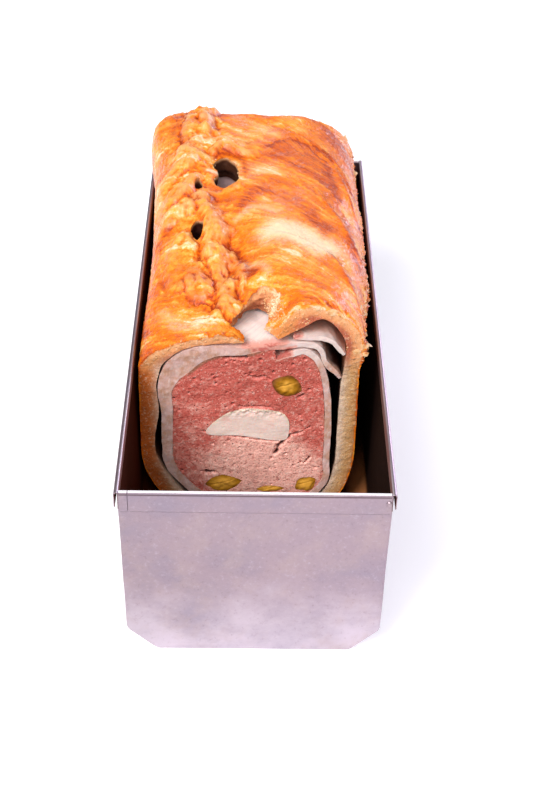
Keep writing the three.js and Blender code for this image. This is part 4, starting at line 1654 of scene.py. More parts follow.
    def _roughened(self, points: Array) -> Array:
        """Fine unevenness along the surface's own normals, and a ragged right edge."""
        along = np.gradient(points, axis=0)
        across = np.roll(points, -1, axis=1) - np.roll(points, 1, axis=1)
        normal = np.cross(across, along)
        normal /= np.linalg.norm(normal, axis=-1, keepdims=True) + 1e-9
        z = points[..., 2]
        amount = mix(0.08, 0.26, ease(z, 10.0, 84.0)) * self.grain.layered(points / 2.0, 3)
        amount -= 0.12 * ease(z, 14.0, 4.0)
        edge = bell(z - 83.0, 7.0) * ease(points[..., 0], 34.0, 40.0)
        ragged = self.grain.layered(points / np.array([5.0, 2.2, 1.2]), 3)
        strips, _ = self._fold_swell(points[..., 0], points[..., 1])
        amount += 1.5 * edge * ragged + 1.5 * strips * ease(points[..., 0], 26.0, 36.0) * ease(z, 77.0, 84.0)
        return points + normal * amount[..., None]

    def _cut_relief(self, x: Array, z: Array) -> Array:
        """Unevenness of the cut dough, deeper in its pores."""
        crumb = 0.18 * self.grain.layered(spots(x, z, 1.6), 3)
        crumb = crumb + 0.35 * self.grain.layered(spots(x, z, 9.0), 2)
        near, _ = self.grain.cells(spots(x, z, 3.4, level=4.5))
        return crumb + 0.4 * (1.0 - ease(near, 0.06, 0.16))

    def _inner_relief(self, x: Array, y: Array, z: Array) -> Array:
        """Unevenness of the hollow's wall."""
        return 0.35 * self.grain.layered(np.stack([x, y, z], axis=-1) / 6.0, 3)

    def build(self, material: Finish) -> Piece:
        """Makes the crust.

        Args:
            material: its finish.

        Returns:
            The finished piece.
        """
        grid = self._outside()
        faces = tube_faces(*grid.shape[:2])
        piece = new_piece("crust_baked", grid, faces)
        skin = BVHTree.FromPolygons(grid.reshape(-1, 3).tolist(), faces[:-2])
        outline = spline(self.hollow, 120, closed=True)[:-1]
        inside = np.linspace(self.loaf.cut_y - 12.0, self.loaf.back_y - self.loaf.back_wall, 36)
        carve(piece, self.loaf.sweep("hollow", outline, inside, self._inner_relief))
        for hole in self.openings:
            carve(piece, hole.tool(self.grain))
        self.loaf.cut_face(piece, np.array(self.face_reach), 0.0, self.face_step, self._cut_relief)
        self._mark(piece, skin)
        soften(piece, self.sharp)
        dress(piece, material, ("crust",))
        return piece

    def strew(self, piece: Piece, material: Finish) -> None:
        """Makes the loose crumbs at the torn edges and the flakes along the right edge.

        Args:
            piece: the finished crust.
            material: finish of the crumbs and flakes.
        """
        x, y, z = corners(piece).T
        behind = y - self.loaf.cut_y
        right_edge = ease(x, 36.5, 39.5) * bell(z - 84.0, 7.0) * (0.06 + ease(behind, 70.0, 0.0))
        slab = bell(x - 7.0, 4.0) * bell(y + 35.0, 7.0) * ease(z, 85.0, 88.0) * ease(z, 102.0, 97.0)
        lip = bell(behind, 0.7) * ease(z, 80.0, 86.0)
        ragged = bell(distance_to(ring_of(self.openings[0].outline()), x, y), 1.0) * ease(z, 102.5, 104.5)
        vent = 0.12 * ragged * ease(np.abs(x + 14.0), 4.0, 5.5)
        crumbs = slab * ease(behind, 3.0, 6.0) + 0.02 * right_edge + 0.05 * lip + vent
        Strewn("crust_crumbs", 3.2, (0.4, 1.3), 0.6, 3.0, 5).build(piece, crumbs, material, "baked_crust")
        arch = 0.3 * bell(behind, 2.0) * ease(x, 14.0, 22.0) * ease(z, 99.0, 103.0)
        flakes = right_edge * ease(z, 74.0, 79.0) + arch
        Strewn("crust_flakes", 0.06, (1.8, 4.4), 0.16, 0.6, 8).build(piece, flakes, material, "baked_crust")

    def _mark(self, piece: Piece, skin: BVHTree) -> None:
        """Stores how far under the baked skin each corner lies, where it is browner or paler, and painted
        light and shade.

        Args:
            piece: the crust.
            skin: the baked surface before it was cut.
        """
        points = corners(piece)
        depth = np.array([skin.find_nearest(point)[3] for point in points.tolist()])
        x, y, z = points.T
        swell, crease = self._fold_swell(x, y)
        here = self.relief(x, y)
        valley = np.zeros(len(x))
        for step in (1.0, 2.6):
            sides = ((step, 0.0), (-step, 0.0), (0.0, step), (0.0, -step))
            around = sum(self.relief(x + across, y + along) for across, along in sides) / len(sides)
            valley += 0.5 * np.clip((around - here) / (0.32 * step), -1.0, 1.0)
        top = ease(z, 80.0, 90.0)
        across, out = self._flow(x, y)
        warp_x = x + 1.6 * self.grain.layered(spots(x, y, 8.0, level=23.5), 3)
        warp_y = y + 1.6 * self.grain.layered(spots(x, y, 8.0, level=27.5), 3)
        pinched = bell(x - self.seam_x(y) + 6.0, 15.0)
        # Painted shade: valleys between the rolls are browned where shade falls.
        recess_shade = np.maximum(valley, 0.0) * (0.12 + 0.4 * pinched)
        # Creases behind the overlapping strips and along the crease lines: partly real browning, partly
        # painted shade.
        brown = 0.3 * swell * ease(x, 0.0, 14.0) + (0.3 + 0.35 * ease(x, 14.0, 30.0)) * crease + recess_shade
        brown = brown + 0.2 * sum(line.at(x, y) for line in self.creases)
        brown = brown + sum(scorch.at(warp_x, warp_y) for scorch in self.scorches)
        side = 0.35 * (1.0 - top) * (0.6 + 0.4 * ease(z, 60.0, 84.0))
        behind = y - self.loaf.cut_y
        # Inside the holes: real browning, and painted shade where it is strongest.
        hole = sum(gap.browning_and_shade * gap.holds(x, y) for gap in self.openings) * ease(z, 80.0, 84.0)
        torn = bell(x - 7.0, 4.5) * bell(y + 35.0, 7.0) * ease(z, 84.0, 88.0) * ease(behind, 3.5, 6.0)
        keep(piece, "depth", depth)
        keep(piece, "flow", across + (105.0 - z) * ease(y, 108.0, 119.0))
        keep(piece, "pull", out + np.maximum(96.0 - z, 0.0))
        # Real browning of ridges, scorches and sides, with painted shade in valleys and creases.
        keep(piece, "brown", top * brown + side)
        # Pale patches, some of them painted highlights.
        keep(piece, "pale", top * sum(stroke.at(warp_x, warp_y) for stroke in self.pale_and_highlight_strokes))
        keep(piece, "roll", np.clip(self.rolled(x, y) / 3.0 - np.maximum(valley, 0.0), 0.0, 1.0) * top)
        keep(piece, "hole", hole)
        keep(piece, "torn", torn)
        # Painted glow on the cut of the arch's thin end, by the notch.
        keep(piece, "amber", 0.95 * bell(x - 7.0, 8.0) * ease(behind, 6.0, 3.5) * ease(z, 86.0, 89.0))
        keep(piece, "high", ease(z, 72.0, 85.0))
        # Painted shade where the hollow's wall lies behind the cut, out of the light.
        unlit = ease(depth, 2.2, 3.6) * ease(behind, 0.7, 3.2)
        keep(piece, "cavity", unlit * (1.0 - np.clip(hole * 3.0, 0.0, 1.0)))
        keep(piece, "shade", 0.95 * ease(x, -28.0, -40.0) * ease(z, 82.0, 70.0))


@dataclass
class FatSheet:
    """A sheet of back fat that runs through the loaf."""

    loaf: Loaf
    name: str
    node: str
    line: Points
    samples: int
    seed: int
    step: float = 0.45
    margin: float = 2.0
    sharp: float = 42.0
    strands: tuple[Stroke, ...] = (
        Stroke(((-1, 84.4), (5.2, 86.6), (10.9, 88.6), (16.6, 91.6)), 1.5, 1),
        Stroke(((5, 79.6), (9.1, 81.4), (12.6, 83)), 1.6, 1.3),
        Stroke(((2, 84.4), (9.1, 84.6), (15, 86)), 1, 0.9),
        Stroke(((-5, 86.2), (-1.6, 86.6)), 1, 0.9),
    )

    def outline(self) -> Array:
        """Corners of the sheet's section in x and z."""
        points = spline(self.line, self.samples)
        left = beside(points[:, :2], points[:, 2] / 2.0)
        right = beside(points[:, :2], -points[:, 2] / 2.0)
        return np.vstack([left, right[::-1]])

    def build(self, material: Finish) -> None:
        """Makes the sheet.

        Args:
            material: its finish.
        """
        grain = Grain(self.seed)
        outline = self.outline()
        cut = self.loaf.cut_y
        near, far = np.arange(cut - 3.0, cut + 30.0, 0.8), np.linspace(cut + 30.0, self.loaf.filling_end, 40)

        def swell(x: Array, y: Array, z: Array) -> Array:
            """Uneven thickness."""
            points = np.stack([x + 0.6 * y, y, z], axis=-1)
            return 0.22 * grain.layered(points / np.array([4.0, 16.0, 6.0]), 3) - 0.05

        def face(x: Array, z: Array) -> Array:
            """Smooth, slightly wavy cut."""
            return 0.35 * grain.layered(spots(x, z, 7.0), 3) + 0.08 * grain.smooth(spots(x, z, 1.0))

        piece = self.loaf.sweep(self.name, outline, np.concatenate([near, far]), swell)
        self.loaf.cut_face(piece, outline, self.margin, self.step, face)
        x, y, z = corners(piece).T
        torn = sum(strand.at(x, z) for strand in self.strands) * bell(y - cut, 5.0)
        high = ease(z, 76.0, 82.0)
        keep(piece, "blush", torn)
        fresh = np.maximum(ease(y, cut + 0.8, cut + 3.0), 0.7 * ease(x, 9.0, 15.0) * ease(z, 70.0, 78.0))
        keep(piece, "clean", fresh * high)
        # Painted reddish shade on the fat under the arch.
        keep(piece, "warm", ease(y, cut + 0.9, cut + 5.0) * ease(x, 11.0, 17.0) * high)
        # Painted shade on the fat far inside the loaf.
        keep(piece, "dim", ease(y, cut + 26.0, cut + 42.0))
        # Painted shade, near black, on the fat's faces in the gaps behind the cut.
        keep(piece, "deep", ease(y, cut + 0.9, cut + 4.5) * (1.0 - high))
        soften(piece, self.sharp)
        dress(piece, material, (self.node,))


@dataclass
class Nut:
    """A pistachio cut through at the face: middle, half sizes and turn in the cut plane."""

    number: int
    x: float
    z: float
    half_x: float
    half_y: float
    half_z: float
    turn: float
    depth: float = 1.2
    power: float = 1.5
    step: float = 0.22
    sharp: float = 40.0

    def solid(self, loaf: Loaf, name: str, margin: float) -> Piece:
        """Whole nut, or the hole for it.

        Args:
            loaf: the loaf it lies in.
            name: the object's name.
            margin: how much it is grown.

        Returns:
            The closed solid.
        """
        grain = Grain(70 + self.number)
        points, faces = ball(bmesh.ops.create_uvsphere, u_segments=48, v_segments=32, radius=1.0)
        across, upward = np.abs(points[:, 0]) + 1e-6, np.abs(points[:, 2]) + 1e-6
        rhomb = np.hypot(across, upward) / (across**self.power + upward**self.power) ** (1.0 / self.power)
        uneven = rhomb * (1.06 + 0.1 * grain.layered(points * 1.1, 2))
        points = points * uneven[:, None] * (np.array([self.half_x, self.half_y, self.half_z]) + margin)
        cos, sin = math.cos(self.turn), math.sin(self.turn)
        x, y, z = points.T
        turned = np.stack([x * cos - z * sin, y, x * sin + z * cos], axis=1)
        return new_piece(name, turned + np.array([self.x, loaf.cut_y + self.depth, self.z]), faces)

    def edge(self, x: Array, z: Array) -> Array:
        """Place between the middle (0) and the rim (1) of the cut."""
        cos, sin = math.cos(self.turn), math.sin(self.turn)
        across = ((x - self.x) * cos + (z - self.z) * sin) / self.half_x
        upward = ((z - self.z) * cos - (x - self.x) * sin) / self.half_z
        return np.sqrt(across**2 + upward**2)

    def build(self, loaf: Loaf, material: Finish) -> None:
        """Makes the cut nut.

        Args:
            loaf: the loaf it lies in.
            material: its finish.
        """
        grain = Grain(90 + self.number)
        piece = self.solid(loaf, f"pistachio_half_{self.number}", 0.0)
        reach = max(self.half_x, self.half_z) + 1.0

        def face(x: Array, z: Array) -> Array:
            """Slightly domed cut with the crease between the two halves of the nut."""
            edge = self.edge(x, z)
            crease = bell((z - self.z) - 0.35 * (x - self.x) - 0.6, 0.35) * ease(edge, 0.9, 0.5)
            facets = 0.45 * grain.layered(spots(x, z, 3.2), 2)
            return 0.6 * edge**2 - 0.35 + facets + 0.22 * crease

        loaf.cut_face(piece, np.array([(self.x, self.z)]), reach, self.step, face)
        x, y, z = corners(piece).T
        keep(piece, "edge", self.edge(x, z) + ease(y, loaf.cut_y + 1.2, loaf.cut_y + 3.0))
        soften(piece, self.sharp)
        dress(piece, material, (f"pistachio_{self.number}",))


@dataclass
class Filling:
    """The forcemeat, its pale core strip and the pistachios at the cut."""

    loaf: Loaf
    wrap_samples: int = 80
    meat_samples: int = 62
    contact: float = 0.04
    margin: float = 1.5
    step: float = 0.36
    core_step: float = 0.3
    core_samples: int = 90
    sharp: float = 60.0
    core_sharp: float = 45.0
    nuts: tuple[Nut, ...] = (
        Nut(1, 12.2, 67.4, 5.9, 7.5, 4.9, -0.35),
        Nut(2, -13, 17.6, 7.2, 6.5, 4.1, 0.1),
        Nut(3, 21, 17.6, 4.6, 7, 3.7, 0.6),
        Nut(4, 6.6, 14.6, 5.8, 5, 1.6, 0.05),
    )
    cracks: tuple[Stroke, ...] = (
        Stroke(((8.3, 33.4), (9.6, 37.2), (12.1, 40), (14.6, 43.2)), 1, 1),
        Stroke(((14.6, 43.2), (18.2, 44.2), (21.7, 47)), 0.6, 0.8),
        Stroke(((-21.5, 44.6), (-11.5, 42.2), (-5, 41.3), (0.2, 40), (8.8, 39.6)), 0.45, 0.8),
        Stroke(((-3.4, 72), (0.4, 71), (3, 71.8), (5.6, 70.2)), 0.6, 0.6),
        Stroke(((20.8, 28.9), (22.2, 31.3)), 0.7, 0.9),
        Stroke(((-20, 23), (-16.6, 23.4)), 1, 1),
        Stroke(((-12, 80.6), (-8, 81), (-4, 81)), 0.8, 1),
        Stroke(((-6, 56.6), (1, 57), (8, 56.6)), 0.5, 0.5),
        Stroke(((17, 61.6), (18.8, 63)), 0.7, 0.8),
    )
    grain: Grain = field(default_factory=lambda: Grain(31))

    def _outline(self) -> Array:
        """Section of the forcemeat, inside the fat sheet."""
        line = spline(WRAP_LINE, self.meat_samples * 2, end=self.meat_samples / self.wrap_samples)
        return beside(line[:, :2], -(line[:, 2] / 2.0 + self.contact))

    def _pits(self, x: Array, z: Array) -> Array:
        """Cracks and pits from 0 to 1."""
        wander = 0.5 * self.grain.layered(spots(x, z, 2.6, level=8.5), 3)
        pits = np.zeros(np.shape(x))
        for crack in self.cracks:
            away = distance_to(np.array(crack.line), x, z) + wander * (0.5 + crack.half)
            pits = np.maximum(pits, crack.strength * (1.0 - ease(away, crack.half * 0.1, crack.half * 1.2)))
        near, _ = self.grain.cells(spots(x, z, 3.6, level=2.5))
        sparse = self.grain.smooth(spots(x, z, 11.0, level=1.5)) + ease(z, 30.0, 75.0) * 0.25
        holes = (1.0 - ease(near + wander * 0.12, 0.08, 0.2)) * ease(sparse, -0.15, 0.3)
        return np.maximum(pits, 0.8 * holes)

    def _face(self, x: Array, z: Array) -> Array:
        """Relief of the cut: fine grain, pits and cracks."""
        near, second = self.grain.cells(spots(x, z, 1.7))
        crumbs = -0.2 * np.clip(second - near, 0.0, 0.6)
        waves = 0.35 * self.grain.layered(spots(x, z, 12.0), 2)
        waves = waves + 0.18 * self.grain.layered(spots(x, z, 3.2), 3)
        return 0.25 + crumbs + waves + 1.7 * self._pits(x, z)

    def build_meat(self, material: Finish) -> Piece:
        """Makes the forcemeat.

        Args:
            material: its finish.

        Returns:
            The finished piece.
        """
        outline = self._outline()
        rows = np.linspace(self.loaf.cut_y - 4.0, self.loaf.filling_end, 14)
        piece = self.loaf.sweep("forcemeat_cut", outline, rows)
        core = spline(CORE_OUTLINE, self.core_samples, closed=True)
        hole = beside(core, -self.contact)[:-1]
        carve(piece, self.loaf.sweep("core_hole", hole, np.array([self.loaf.cut_y - 9.0, self.loaf.back_y])))
        self.loaf.cut_face(piece, outline, self.margin, self.step, self._face)
        for nut in self.nuts:
            carve(piece, nut.solid(self.loaf, "nut_hole", self.contact))
        x, y, z = corners(piece).T
        rim = 1.0 - ease(distance_to(ring_of(outline), x, z), 0.2, 2.4)
        pale_zone = np.hypot((x - 2.0) / 27.0, (z - 25.0) / 19.0)
        keep(piece, "low", np.maximum(ease(pale_zone, 1.3, 0.6), 0.17 * ease(z, 72.0, 50.0)))
        behind = y - self.loaf.cut_y
        # Painted shade in pits and cracks, and on faces more than a few millimetres behind the cut.
        keep(piece, "pit", self._pits(x, z) * 0.9 + 0.6 * ease(behind, 2.6, 6.0))
        keep(piece, "edge", rim * (0.35 + 0.65 * ease(z, 66.0, 78.0) * ease(x, 8.0, -8.0)))
        soften(piece, self.sharp)
        dress(piece, material, ("forcemeat",))
        return piece

    def strew(self, meat: Piece, material: Finish) -> None:
        """Makes the pale grains that stand out of the cut forcemeat.

        Args:
            meat: the finished forcemeat.
            material: the grains' finish.
        """
        x, y, z = corners(meat).T
        face = ease(y, self.loaf.cut_y + 1.4, self.loaf.cut_y + 0.8)
        patchy = ease(self.grain.layered(spots(x, z, 9.0, level=6.5), 2), -0.4, 0.5)
        Strewn("mince_grains", 0.12, (0.3, 0.8), 0.6, 3.0, 12).build(meat, face * patchy, material, "mince")

    def build_core(self, material: Finish) -> None:
        """Makes the core strip.

        Args:
            material: its finish.
        """
        grain = Grain(41)
        outline = spline(CORE_OUTLINE, self.core_samples, closed=True)[:-1]
        rows = np.linspace(self.loaf.cut_y - 3.0, self.loaf.filling_end, 10)
        piece = self.loaf.sweep("core_strip_cut", outline, rows)

        def face(x: Array, z: Array) -> Array:
            """Smooth cut with a frayed upper edge."""
            fray = ease(z, 50.0, 56.0) * 0.6 * grain.layered(spots(x, z, 1.8), 3)
            fine = 0.04 * grain.layered(spots(x, z, 1.2), 2)
            return 0.3 * grain.layered(spots(x, z, 8.0), 2) + fine + fray

        self.loaf.cut_face(piece, outline, self.margin, self.core_step, face)
        x, _, z = corners(piece).T
        rim = 1.0 - ease(distance_to(ring_of(outline), x, z), 0.0, 2.2)
        keep(piece, "edge", rim * ease(z, 44.0, 50.0))
        soften(piece, self.core_sharp)
        dress(piece, material, ("core_strip",))

    def build_nuts(self, material: Finish) -> None:
        """Makes the pistachios."""
        for nut in self.nuts:
            nut.build(self.loaf, material)


@dataclass
class Tin:
    """The loaf tin: one sheet folded to a trough, with turned rims, whose hems are width and drop."""

    length: float = 250.0
    width: float = 100.0
    height: float = 78.0
    sheet: float = 0.7
    floor_half: float = 36.6
    bevel_top: float = 10.6
    wall_low: float = 47.7
    wall_high: float = 48.9
    side_hem: tuple[float, float] = (1.8, 6.7)
    end_hem: tuple[float, float] = (1.5, 9.0)
    fold_radius: float = 1.8
    end_radius: float = 1.0
    slot: float = 0.9
    overlap: float = 0.06
    tab: float = 3.0
    sharp: float = 40.0
    bead_place: Place = (47.3, -125.0, 73.8)
    bead_size: Place = (1.0, 0.7, 1.3)
    bead_sharp: float = 60.0
    grain: Grain = field(default_factory=lambda: Grain(51))

    def _profile(self, inset: float, top: float) -> Array:
        """Open trough section from the left rim round to the right one, drawn in by an inset."""
        slant = math.atan2(self.bevel_top, self.wall_low - self.floor_half)
        floor = self.floor_half - inset * math.tan(slant / 2.0)
        bevel = self.bevel_top + inset * math.tan((math.pi / 2.0 - slant) / 2.0)
        low, high = self.wall_low - inset, self.wall_high - inset
        radius = max(self.fold_radius - inset, 0.4)
        right = np.array([(0.0, inset), (floor, inset), (low, bevel), (high, top)])
        steps = (14, 6, 22)
        points = []
        for i, count in enumerate(steps):
            start, stop = right[i], right[i + 1]
            along = (stop - start) / np.linalg.norm(stop - start)
            first = start + along * (radius if i > 0 else 0.0)
            last = stop - along * (radius if i < 2 else 0.0)
            points.extend(mix(first, last, share) for share in np.linspace(0.0, 1.0, count))
            if i < 2:
                beyond = (right[i + 2] - stop) / np.linalg.norm(right[i + 2] - stop)
                leave = stop + beyond * radius
                points.extend(
                    (1 - t) ** 2 * last + 2 * t * (1 - t) * stop + t**2 * leave for t in (0.2, 0.4, 0.6, 0.8)
                )
        half = np.array(points)
        return np.vstack([half[:0:-1] * np.array([-1.0, 1.0]), half])

    def _surface(self, inset: float, top: float) -> Array:
        """Grid of one face of the sheet: front panel, trough and back panel."""
        end = self.length / 2.0 - (self.end_hem[0] - self.sheet) - inset
        radius = max(self.end_radius - inset, 0.3)
        rows = []
        turns = np.linspace(0.0, math.pi / 2.0, 6)
        panel = self._profile(inset + radius, top)
        for share in np.linspace(1.0, 0.05, 22):
            rise = np.stack([panel[:, 0], mix(panel[:, 1], top, share)], axis=1)
            rows.append((-end, rise))
        for turn in turns[::-1]:
            shrink = radius * (1.0 - math.cos(turn))
            rows.append((-end + radius * (1.0 - math.sin(turn)), self._profile(inset + shrink, top)))
        front = list(rows)
        for y in np.linspace(-end + radius, end - radius, 40)[1:-1]:
            rows.append((y, self._profile(inset, top)))
        rows.extend((-y, section) for y, section in reversed(front))
        return np.array([[(x, y, z) for x, z in section] for y, section in rows])

    def _dented(self, grid: Array) -> Array:
        """Slight warp of the sheet."""
        warp = 0.16 * self.grain.layered(grid / np.array([30.0, 45.0, 30.0]), 2)
        shift = np.zeros_like(grid)
        shift[..., 0] = warp * ease(np.abs(grid[..., 0]), 40.0, 47.0) * np.sign(grid[..., 0])
        shift[..., 1] = warp * ease(np.abs(grid[..., 1]), 120.0, 124.0) * np.sign(grid[..., 1])
        return grid + shift * ease(grid[..., 2], 74.0, 60.0)[..., None]

    def build_shell(self, material: Finish) -> None:
        """Makes the folded sheet.

        Args:
            material: its finish.
        """
        top = self.height - self.side_hem[0] / 2.0
        outer = self._dented(self._surface(0.0, top))
        inner = self._dented(self._surface(self.sheet, top))
        rows, columns = outer.shape[:2]
        count = rows * columns
        faces = grid_faces(rows, columns, closed=False)
        faces += [tuple(corner + count for corner in reversed(face)) for face in faces]
        rim = border(rows, columns).tolist()
        for here, beyond in zip(rim, rim[1:] + rim[:1]):
            faces.append((here, beyond, beyond + count, here + count))
        piece = new_piece("tin_sheet", np.concatenate([outer, inner]), faces)
        form = bmesh.new()
        form.from_mesh(piece.data)
        bmesh.ops.remove_doubles(form, verts=form.verts, dist=1e-6)
        bmesh.ops.recalc_face_normals(form, faces=form.faces)
        form.to_mesh(piece.data)
        form.free()
        self._mark_inside(piece)
        soften(piece, self.sharp)
        dress(piece, material, ("tin",))

    def _mark_inside(self, piece: Piece) -> None:
        """Stores where the sheet is inside the tin, painted shade on its right wall and a painted reflection
        on its slanted lower edge.
        """
        x, y, z = corners(piece).T
        outer_y = self.length / 2.0 - (self.end_hem[0] - self.sheet)
        levels, halves = (0.0, self.bevel_top, self.height), (self.floor_half, self.wall_low, self.wall_high)
        wall = np.interp(z, levels, halves)
        skin = np.minimum(np.minimum(wall - np.abs(x), outer_y - np.abs(y)), z)
        keep(piece, "inside", ease(skin, 0.25, 0.55) * ease(z, 77.8, 76.5))
        # Painted shade on the right inner wall.
        keep(piece, "soot", ease(x, 30.0, 44.0))
        open_part = ease(y, -5.0, -30.0) * ease(y, -120.0, -95.0)
        keep(piece, "glow", ease(x, 37.0, 42.0) * ease(z, 13.0, 9.0) * open_part)

    def _hem_outline(self, inner: float, width: float, drop: float, slot: float) -> Array:
        """Section of a rim turned over.

        Args:
            inner: where its inner face stands.
            width: its thickness.
            drop: how far it hangs down.
            slot: width of the gap between its leaves, 0 where it is pressed flat.

        Returns:
            Corners of the section, across and up.
        """
        radius = width / 2.0
        arc_z = self.height - radius
        leaf = self.sheet if slot == 0.0 else width / 2.0 - slot / 2.0
        arc = np.linspace(0.0, math.pi, 11)
        points = [(inner, arc_z - drop), (inner + leaf, arc_z - drop)]
        if slot > 0.0:
            gap = slot / 2.0
            points += [(inner + radius + gap * math.cos(a), arc_z + gap * math.sin(a)) for a in arc[::-1]]
            points.append((inner + width - leaf, self.height - drop))
        points.append((inner + width - 0.2, self.height - drop))
        points += [(inner + width, self.height - low) for low in (drop - 0.2, 2.1, 1.7, 1.4, 1.2, 1.0)]
        points += [(inner + radius + radius * math.cos(a), arc_z + radius * math.sin(a)) for a in arc]
        return np.array(points)

    def build_rims(self, material: Finish) -> None:
        """Makes the turned rims: two open at the sides, two flat at the ends and a corner tab in front.

        Args:
            material: their finish.
        """
        half = self.length / 2.0
        inner_x = self.width / 2.0 - self.side_hem[0]
        inner_y = half - self.end_hem[0]
        over = self.overlap
        side = self._hem_outline(inner_x - over, self.side_hem[0] + over, self.side_hem[1], self.slot)
        end = self._hem_outline(inner_y - over, self.end_hem[0] + over, self.end_hem[1], 0.0)
        reach = inner_x - 0.1
        sweeps = (
            ("tin_rim_right", side, Run.ALONG, 1.0, -half, half),
            ("tin_rim_left", side, Run.ALONG, -1.0, -half, half),
            ("tin_rim_front", end, Run.ACROSS, 1.0, -reach + self.tab + 0.2, reach),
            ("tin_rim_front_tab", end, Run.ACROSS, 1.0, -reach, -reach + self.tab - 0.1),
            ("tin_rim_back", end, Run.ACROSS, -1.0, -reach, reach),
        )
        tree = self._rim_tree()
        for name, outline, run, sign, start, stop in sweeps:
            places = np.linspace(start, stop, 26)
            flat = np.zeros_like(places)
            wave = 0.1 * self.grain.layered(spots(places, sign * 60.0, 40.0), 2)
            path = np.stack([flat, places, wave] if run is Run.ALONG else [places, flat, wave * 0.4], axis=1)
            piece = new_line(name, path, closed=False)
            section = np.stack([outline[:, 0] * sign, -outline[:, 1], 0.0 * outline[:, 0]], axis=1)
            profile = new_line("rim_section", section, closed=True)
            tree.grow(piece, {"Section": profile, "Finish": material})
            discard(profile)
            x, _, z = corners(piece).T
            # Painted shade: the slot between the side rims' leaves is marked as inside, so it is painted
            # nearly black.
            slot = np.abs(np.abs(x) - inner_x - self.side_hem[0] / 2.0) < self.side_hem[0] / 3.0
            keep(piece, "inside", slot & (z < self.height - 0.4) & (run is Run.ALONG))
            # Painted highlight along the crest: full on the end rims, weaker and only on the inner side of
            # the side rims.
            bright = 1.0 if run is Run.ACROSS else 0.7 * ease(np.abs(x), inner_x + 0.75, inner_x + 0.35)
            # Painted reflection: a black line just under the crest.
            keep(piece, "line", 0.95 * bell(z - self.height + 1.25, 0.28))
            keep(piece, "crest", bright * ease(z, self.height - 0.27, self.height - 0.08))
            soften(piece, self.sharp)
            dress(piece, material)

    def build_bead(self, material: Finish) -> None:
        """Makes the bead of solder at the right end of the front rim.

        Args:
            material: its finish.
        """
        points, faces = ball(bmesh.ops.create_icosphere, subdivisions=3, radius=1.0)
        uneven = 1.0 + 0.12 * self.grain.layered(points * 1.3, 2)
        points = points * uneven[:, None] * np.array(self.bead_size) + np.array(self.bead_place)
        piece = new_piece("tin_solder_bead", points, faces)
        soften(piece, self.bead_sharp)
        dress(piece, material)

    @staticmethod
    def _rim_tree() -> Tree:
        """Tree that draws a rim's section along a straight edge of the tin."""
        tree = Tree("turned_rim", {
            "Edge": "NodeSocketGeometry", "Section": "NodeSocketObject", "Finish": "NodeSocketMaterial",
        })
        edge = tree.node("GeometryNodeMeshToCurve", {}, {"Mesh": tree.given("Edge")})
        shape = tree.node("GeometryNodeObjectInfo", {}, {"Object": tree.given("Section")}, "Geometry")
        section = tree.node("GeometryNodeMeshToCurve", {}, {"Mesh": shape})
        sockets = {"Curve": edge, "Profile Curve": section, "Fill Caps": True}
        tree.close(tree.node("GeometryNodeCurveToMesh", {}, sockets), tree.given("Finish"))
        return tree


@dataclass(frozen=True)
class Lamp:
    """A soft square light: place and target in metres, side, power and tint."""

    name: str
    place: Place
    target: Place
    size: float
    power: float
    tint: Colour = (1.0, 1.0, 1.0)

    def hang(self) -> None:
        """Makes the light."""
        data = bpy.data.lights.new(self.name, "AREA")
        data.size = self.size
        data.energy = self.power
        data.color = self.tint
        lamp = bpy.data.objects.new(self.name, data)
        lamp.location = self.place
        ahead = Vector(self.target) - Vector(self.place)
        lamp.rotation_euler = ahead.to_track_quat("-Z", "Y").to_euler()
        bpy.context.scene.collection.objects.link(lamp)


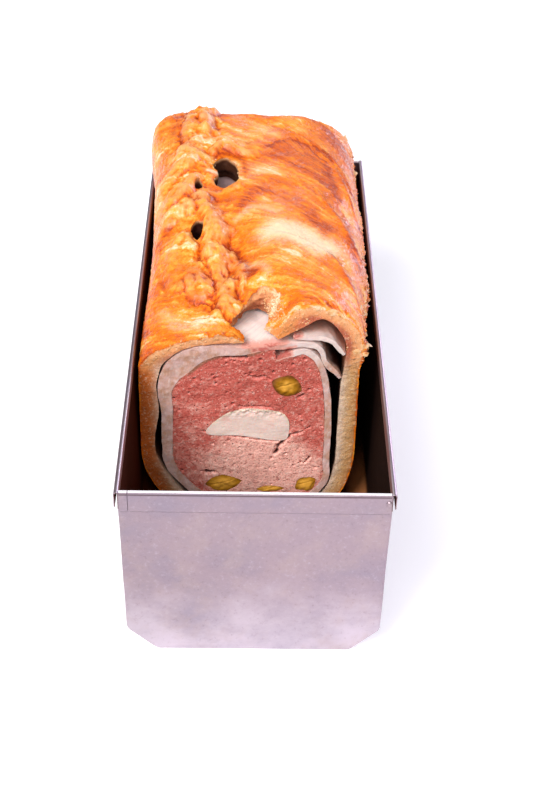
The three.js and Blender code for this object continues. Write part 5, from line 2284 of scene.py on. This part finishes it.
@dataclass
class Studio:
    """Camera, soft lights and a pale floor: angles in degrees, the eye in millimetres."""

    focal_px: float = 1556.4
    image_height: float = 800.0
    sensor: float = 36.0
    pitch: float = 36.48
    roll: float = 1.134
    yaw: float = 0.715
    eye: Place = (-2.01, -544.32, 429.05)
    nearest: float = 0.01
    floor_reach: float = 4000.0
    floor_steps: int = 24
    room_light: float = 0.2
    lamps: tuple[Lamp, ...] = (
        Lamp("key", (-1.15, -1.3, 1.8), (0.0, -0.02, 0.06), 1.3, 70.0),
        Lamp("front_fill", (0.1, -1.95, 1.75), (0.0, -0.05, 0.05), 1.4, 30.0),
        Lamp("back_sheen", (1.6, 1.5, 0.8), (0.03, 0.1, 0.09), 1.2, 40.0, (0.80, 0.80, 1.0)),
        Lamp("rim_light", (-0.1, 2.0, 0.9), (0.0, 0.0, 0.08), 0.9, 4.5, (0.96, 0.94, 1.0)),
    )

    def place_camera(self) -> None:
        """Puts the camera where the photograph was taken from."""
        data = bpy.data.cameras.new("camera")
        data.sensor_width = self.sensor
        data.lens = self.focal_px * self.sensor / self.image_height
        data.clip_start = self.nearest
        pitch, roll, yaw = (math.radians(angle) for angle in (self.pitch, self.roll, self.yaw))
        ahead = Vector((math.sin(yaw) * math.cos(pitch), math.cos(yaw) * math.cos(pitch), -math.sin(pitch)))
        right = Vector((math.cos(yaw), -math.sin(yaw), 0.0))
        up = right.cross(ahead)
        across = right * math.cos(roll) + up * math.sin(roll)
        upward = up * math.cos(roll) - right * math.sin(roll)
        turn = Matrix((across, upward, -ahead)).transposed().to_4x4()
        camera = bpy.data.objects.new("camera", data)
        camera.matrix_world = Matrix.Translation(Vector(self.eye) * MM) @ turn
        bpy.context.scene.collection.objects.link(camera)
        bpy.context.scene.camera = camera

    def lay_floor(self, material: Finish) -> None:
        """Makes the flat floor.

        Args:
            material: its finish.
        """
        places = np.linspace(-self.floor_reach, self.floor_reach, self.floor_steps)
        x, y = np.meshgrid(places, places)
        floor = new_piece("floor", np.stack([x, y, 0.0 * x], -1), grid_faces(*x.shape, closed=False))
        if floor.data.polygons[0].normal.z < 0.0:
            floor.data.flip_normals()
        floor.data.materials.append(material)

    def hang_lights(self) -> None:
        """Makes the soft lights and the white surroundings."""
        for lamp in self.lamps:
            lamp.hang()
        world = bpy.data.worlds.new("white_room")
        world.use_nodes = True
        background = world.node_tree.nodes["Background"]
        background.inputs["Color"].default_value = (1.0, 1.0, 1.0, 1.0)
        background.inputs["Strength"].default_value = self.room_light
        bpy.context.scene.world = world
        bpy.context.scene.view_settings.view_transform = "Standard"


def main() -> None:
    """Builds the studio, the tin and the loaf."""
    logging.basicConfig(level=logging.INFO, format="%(name)s: %(message)s")
    studio = Studio()
    studio.place_camera()
    studio.lay_floor(StudioFloor().material())
    studio.hang_lights()
    tinplate = Tinplate().material()
    tin = Tin()
    tin.build_shell(tinplate)
    tin.build_rims(tinplate)
    tin.build_bead(tinplate)
    loaf = Loaf()
    crust = Crust(loaf)
    crust.strew(crust.build(BakedPastry().material()), PastryCrumb().material())
    fat = BackFat().material()
    FatSheet(loaf, "fat_wrap_cut", "fat_wrap", WRAP_LINE, 240, 21).build(fat)
    FatSheet(loaf, "fat_slice_cut", "fat_slice", SLICE_LINE, 60, 23).build(fat)
    filling = Filling(loaf)
    meat = filling.build_meat(Mince().material())
    filling.build_core(PaleMeat().material())
    filling.strew(meat, MinceGrain().material())
    filling.build_nuts(PistachioFlesh().material())


if __name__ == "__main__":
    main()
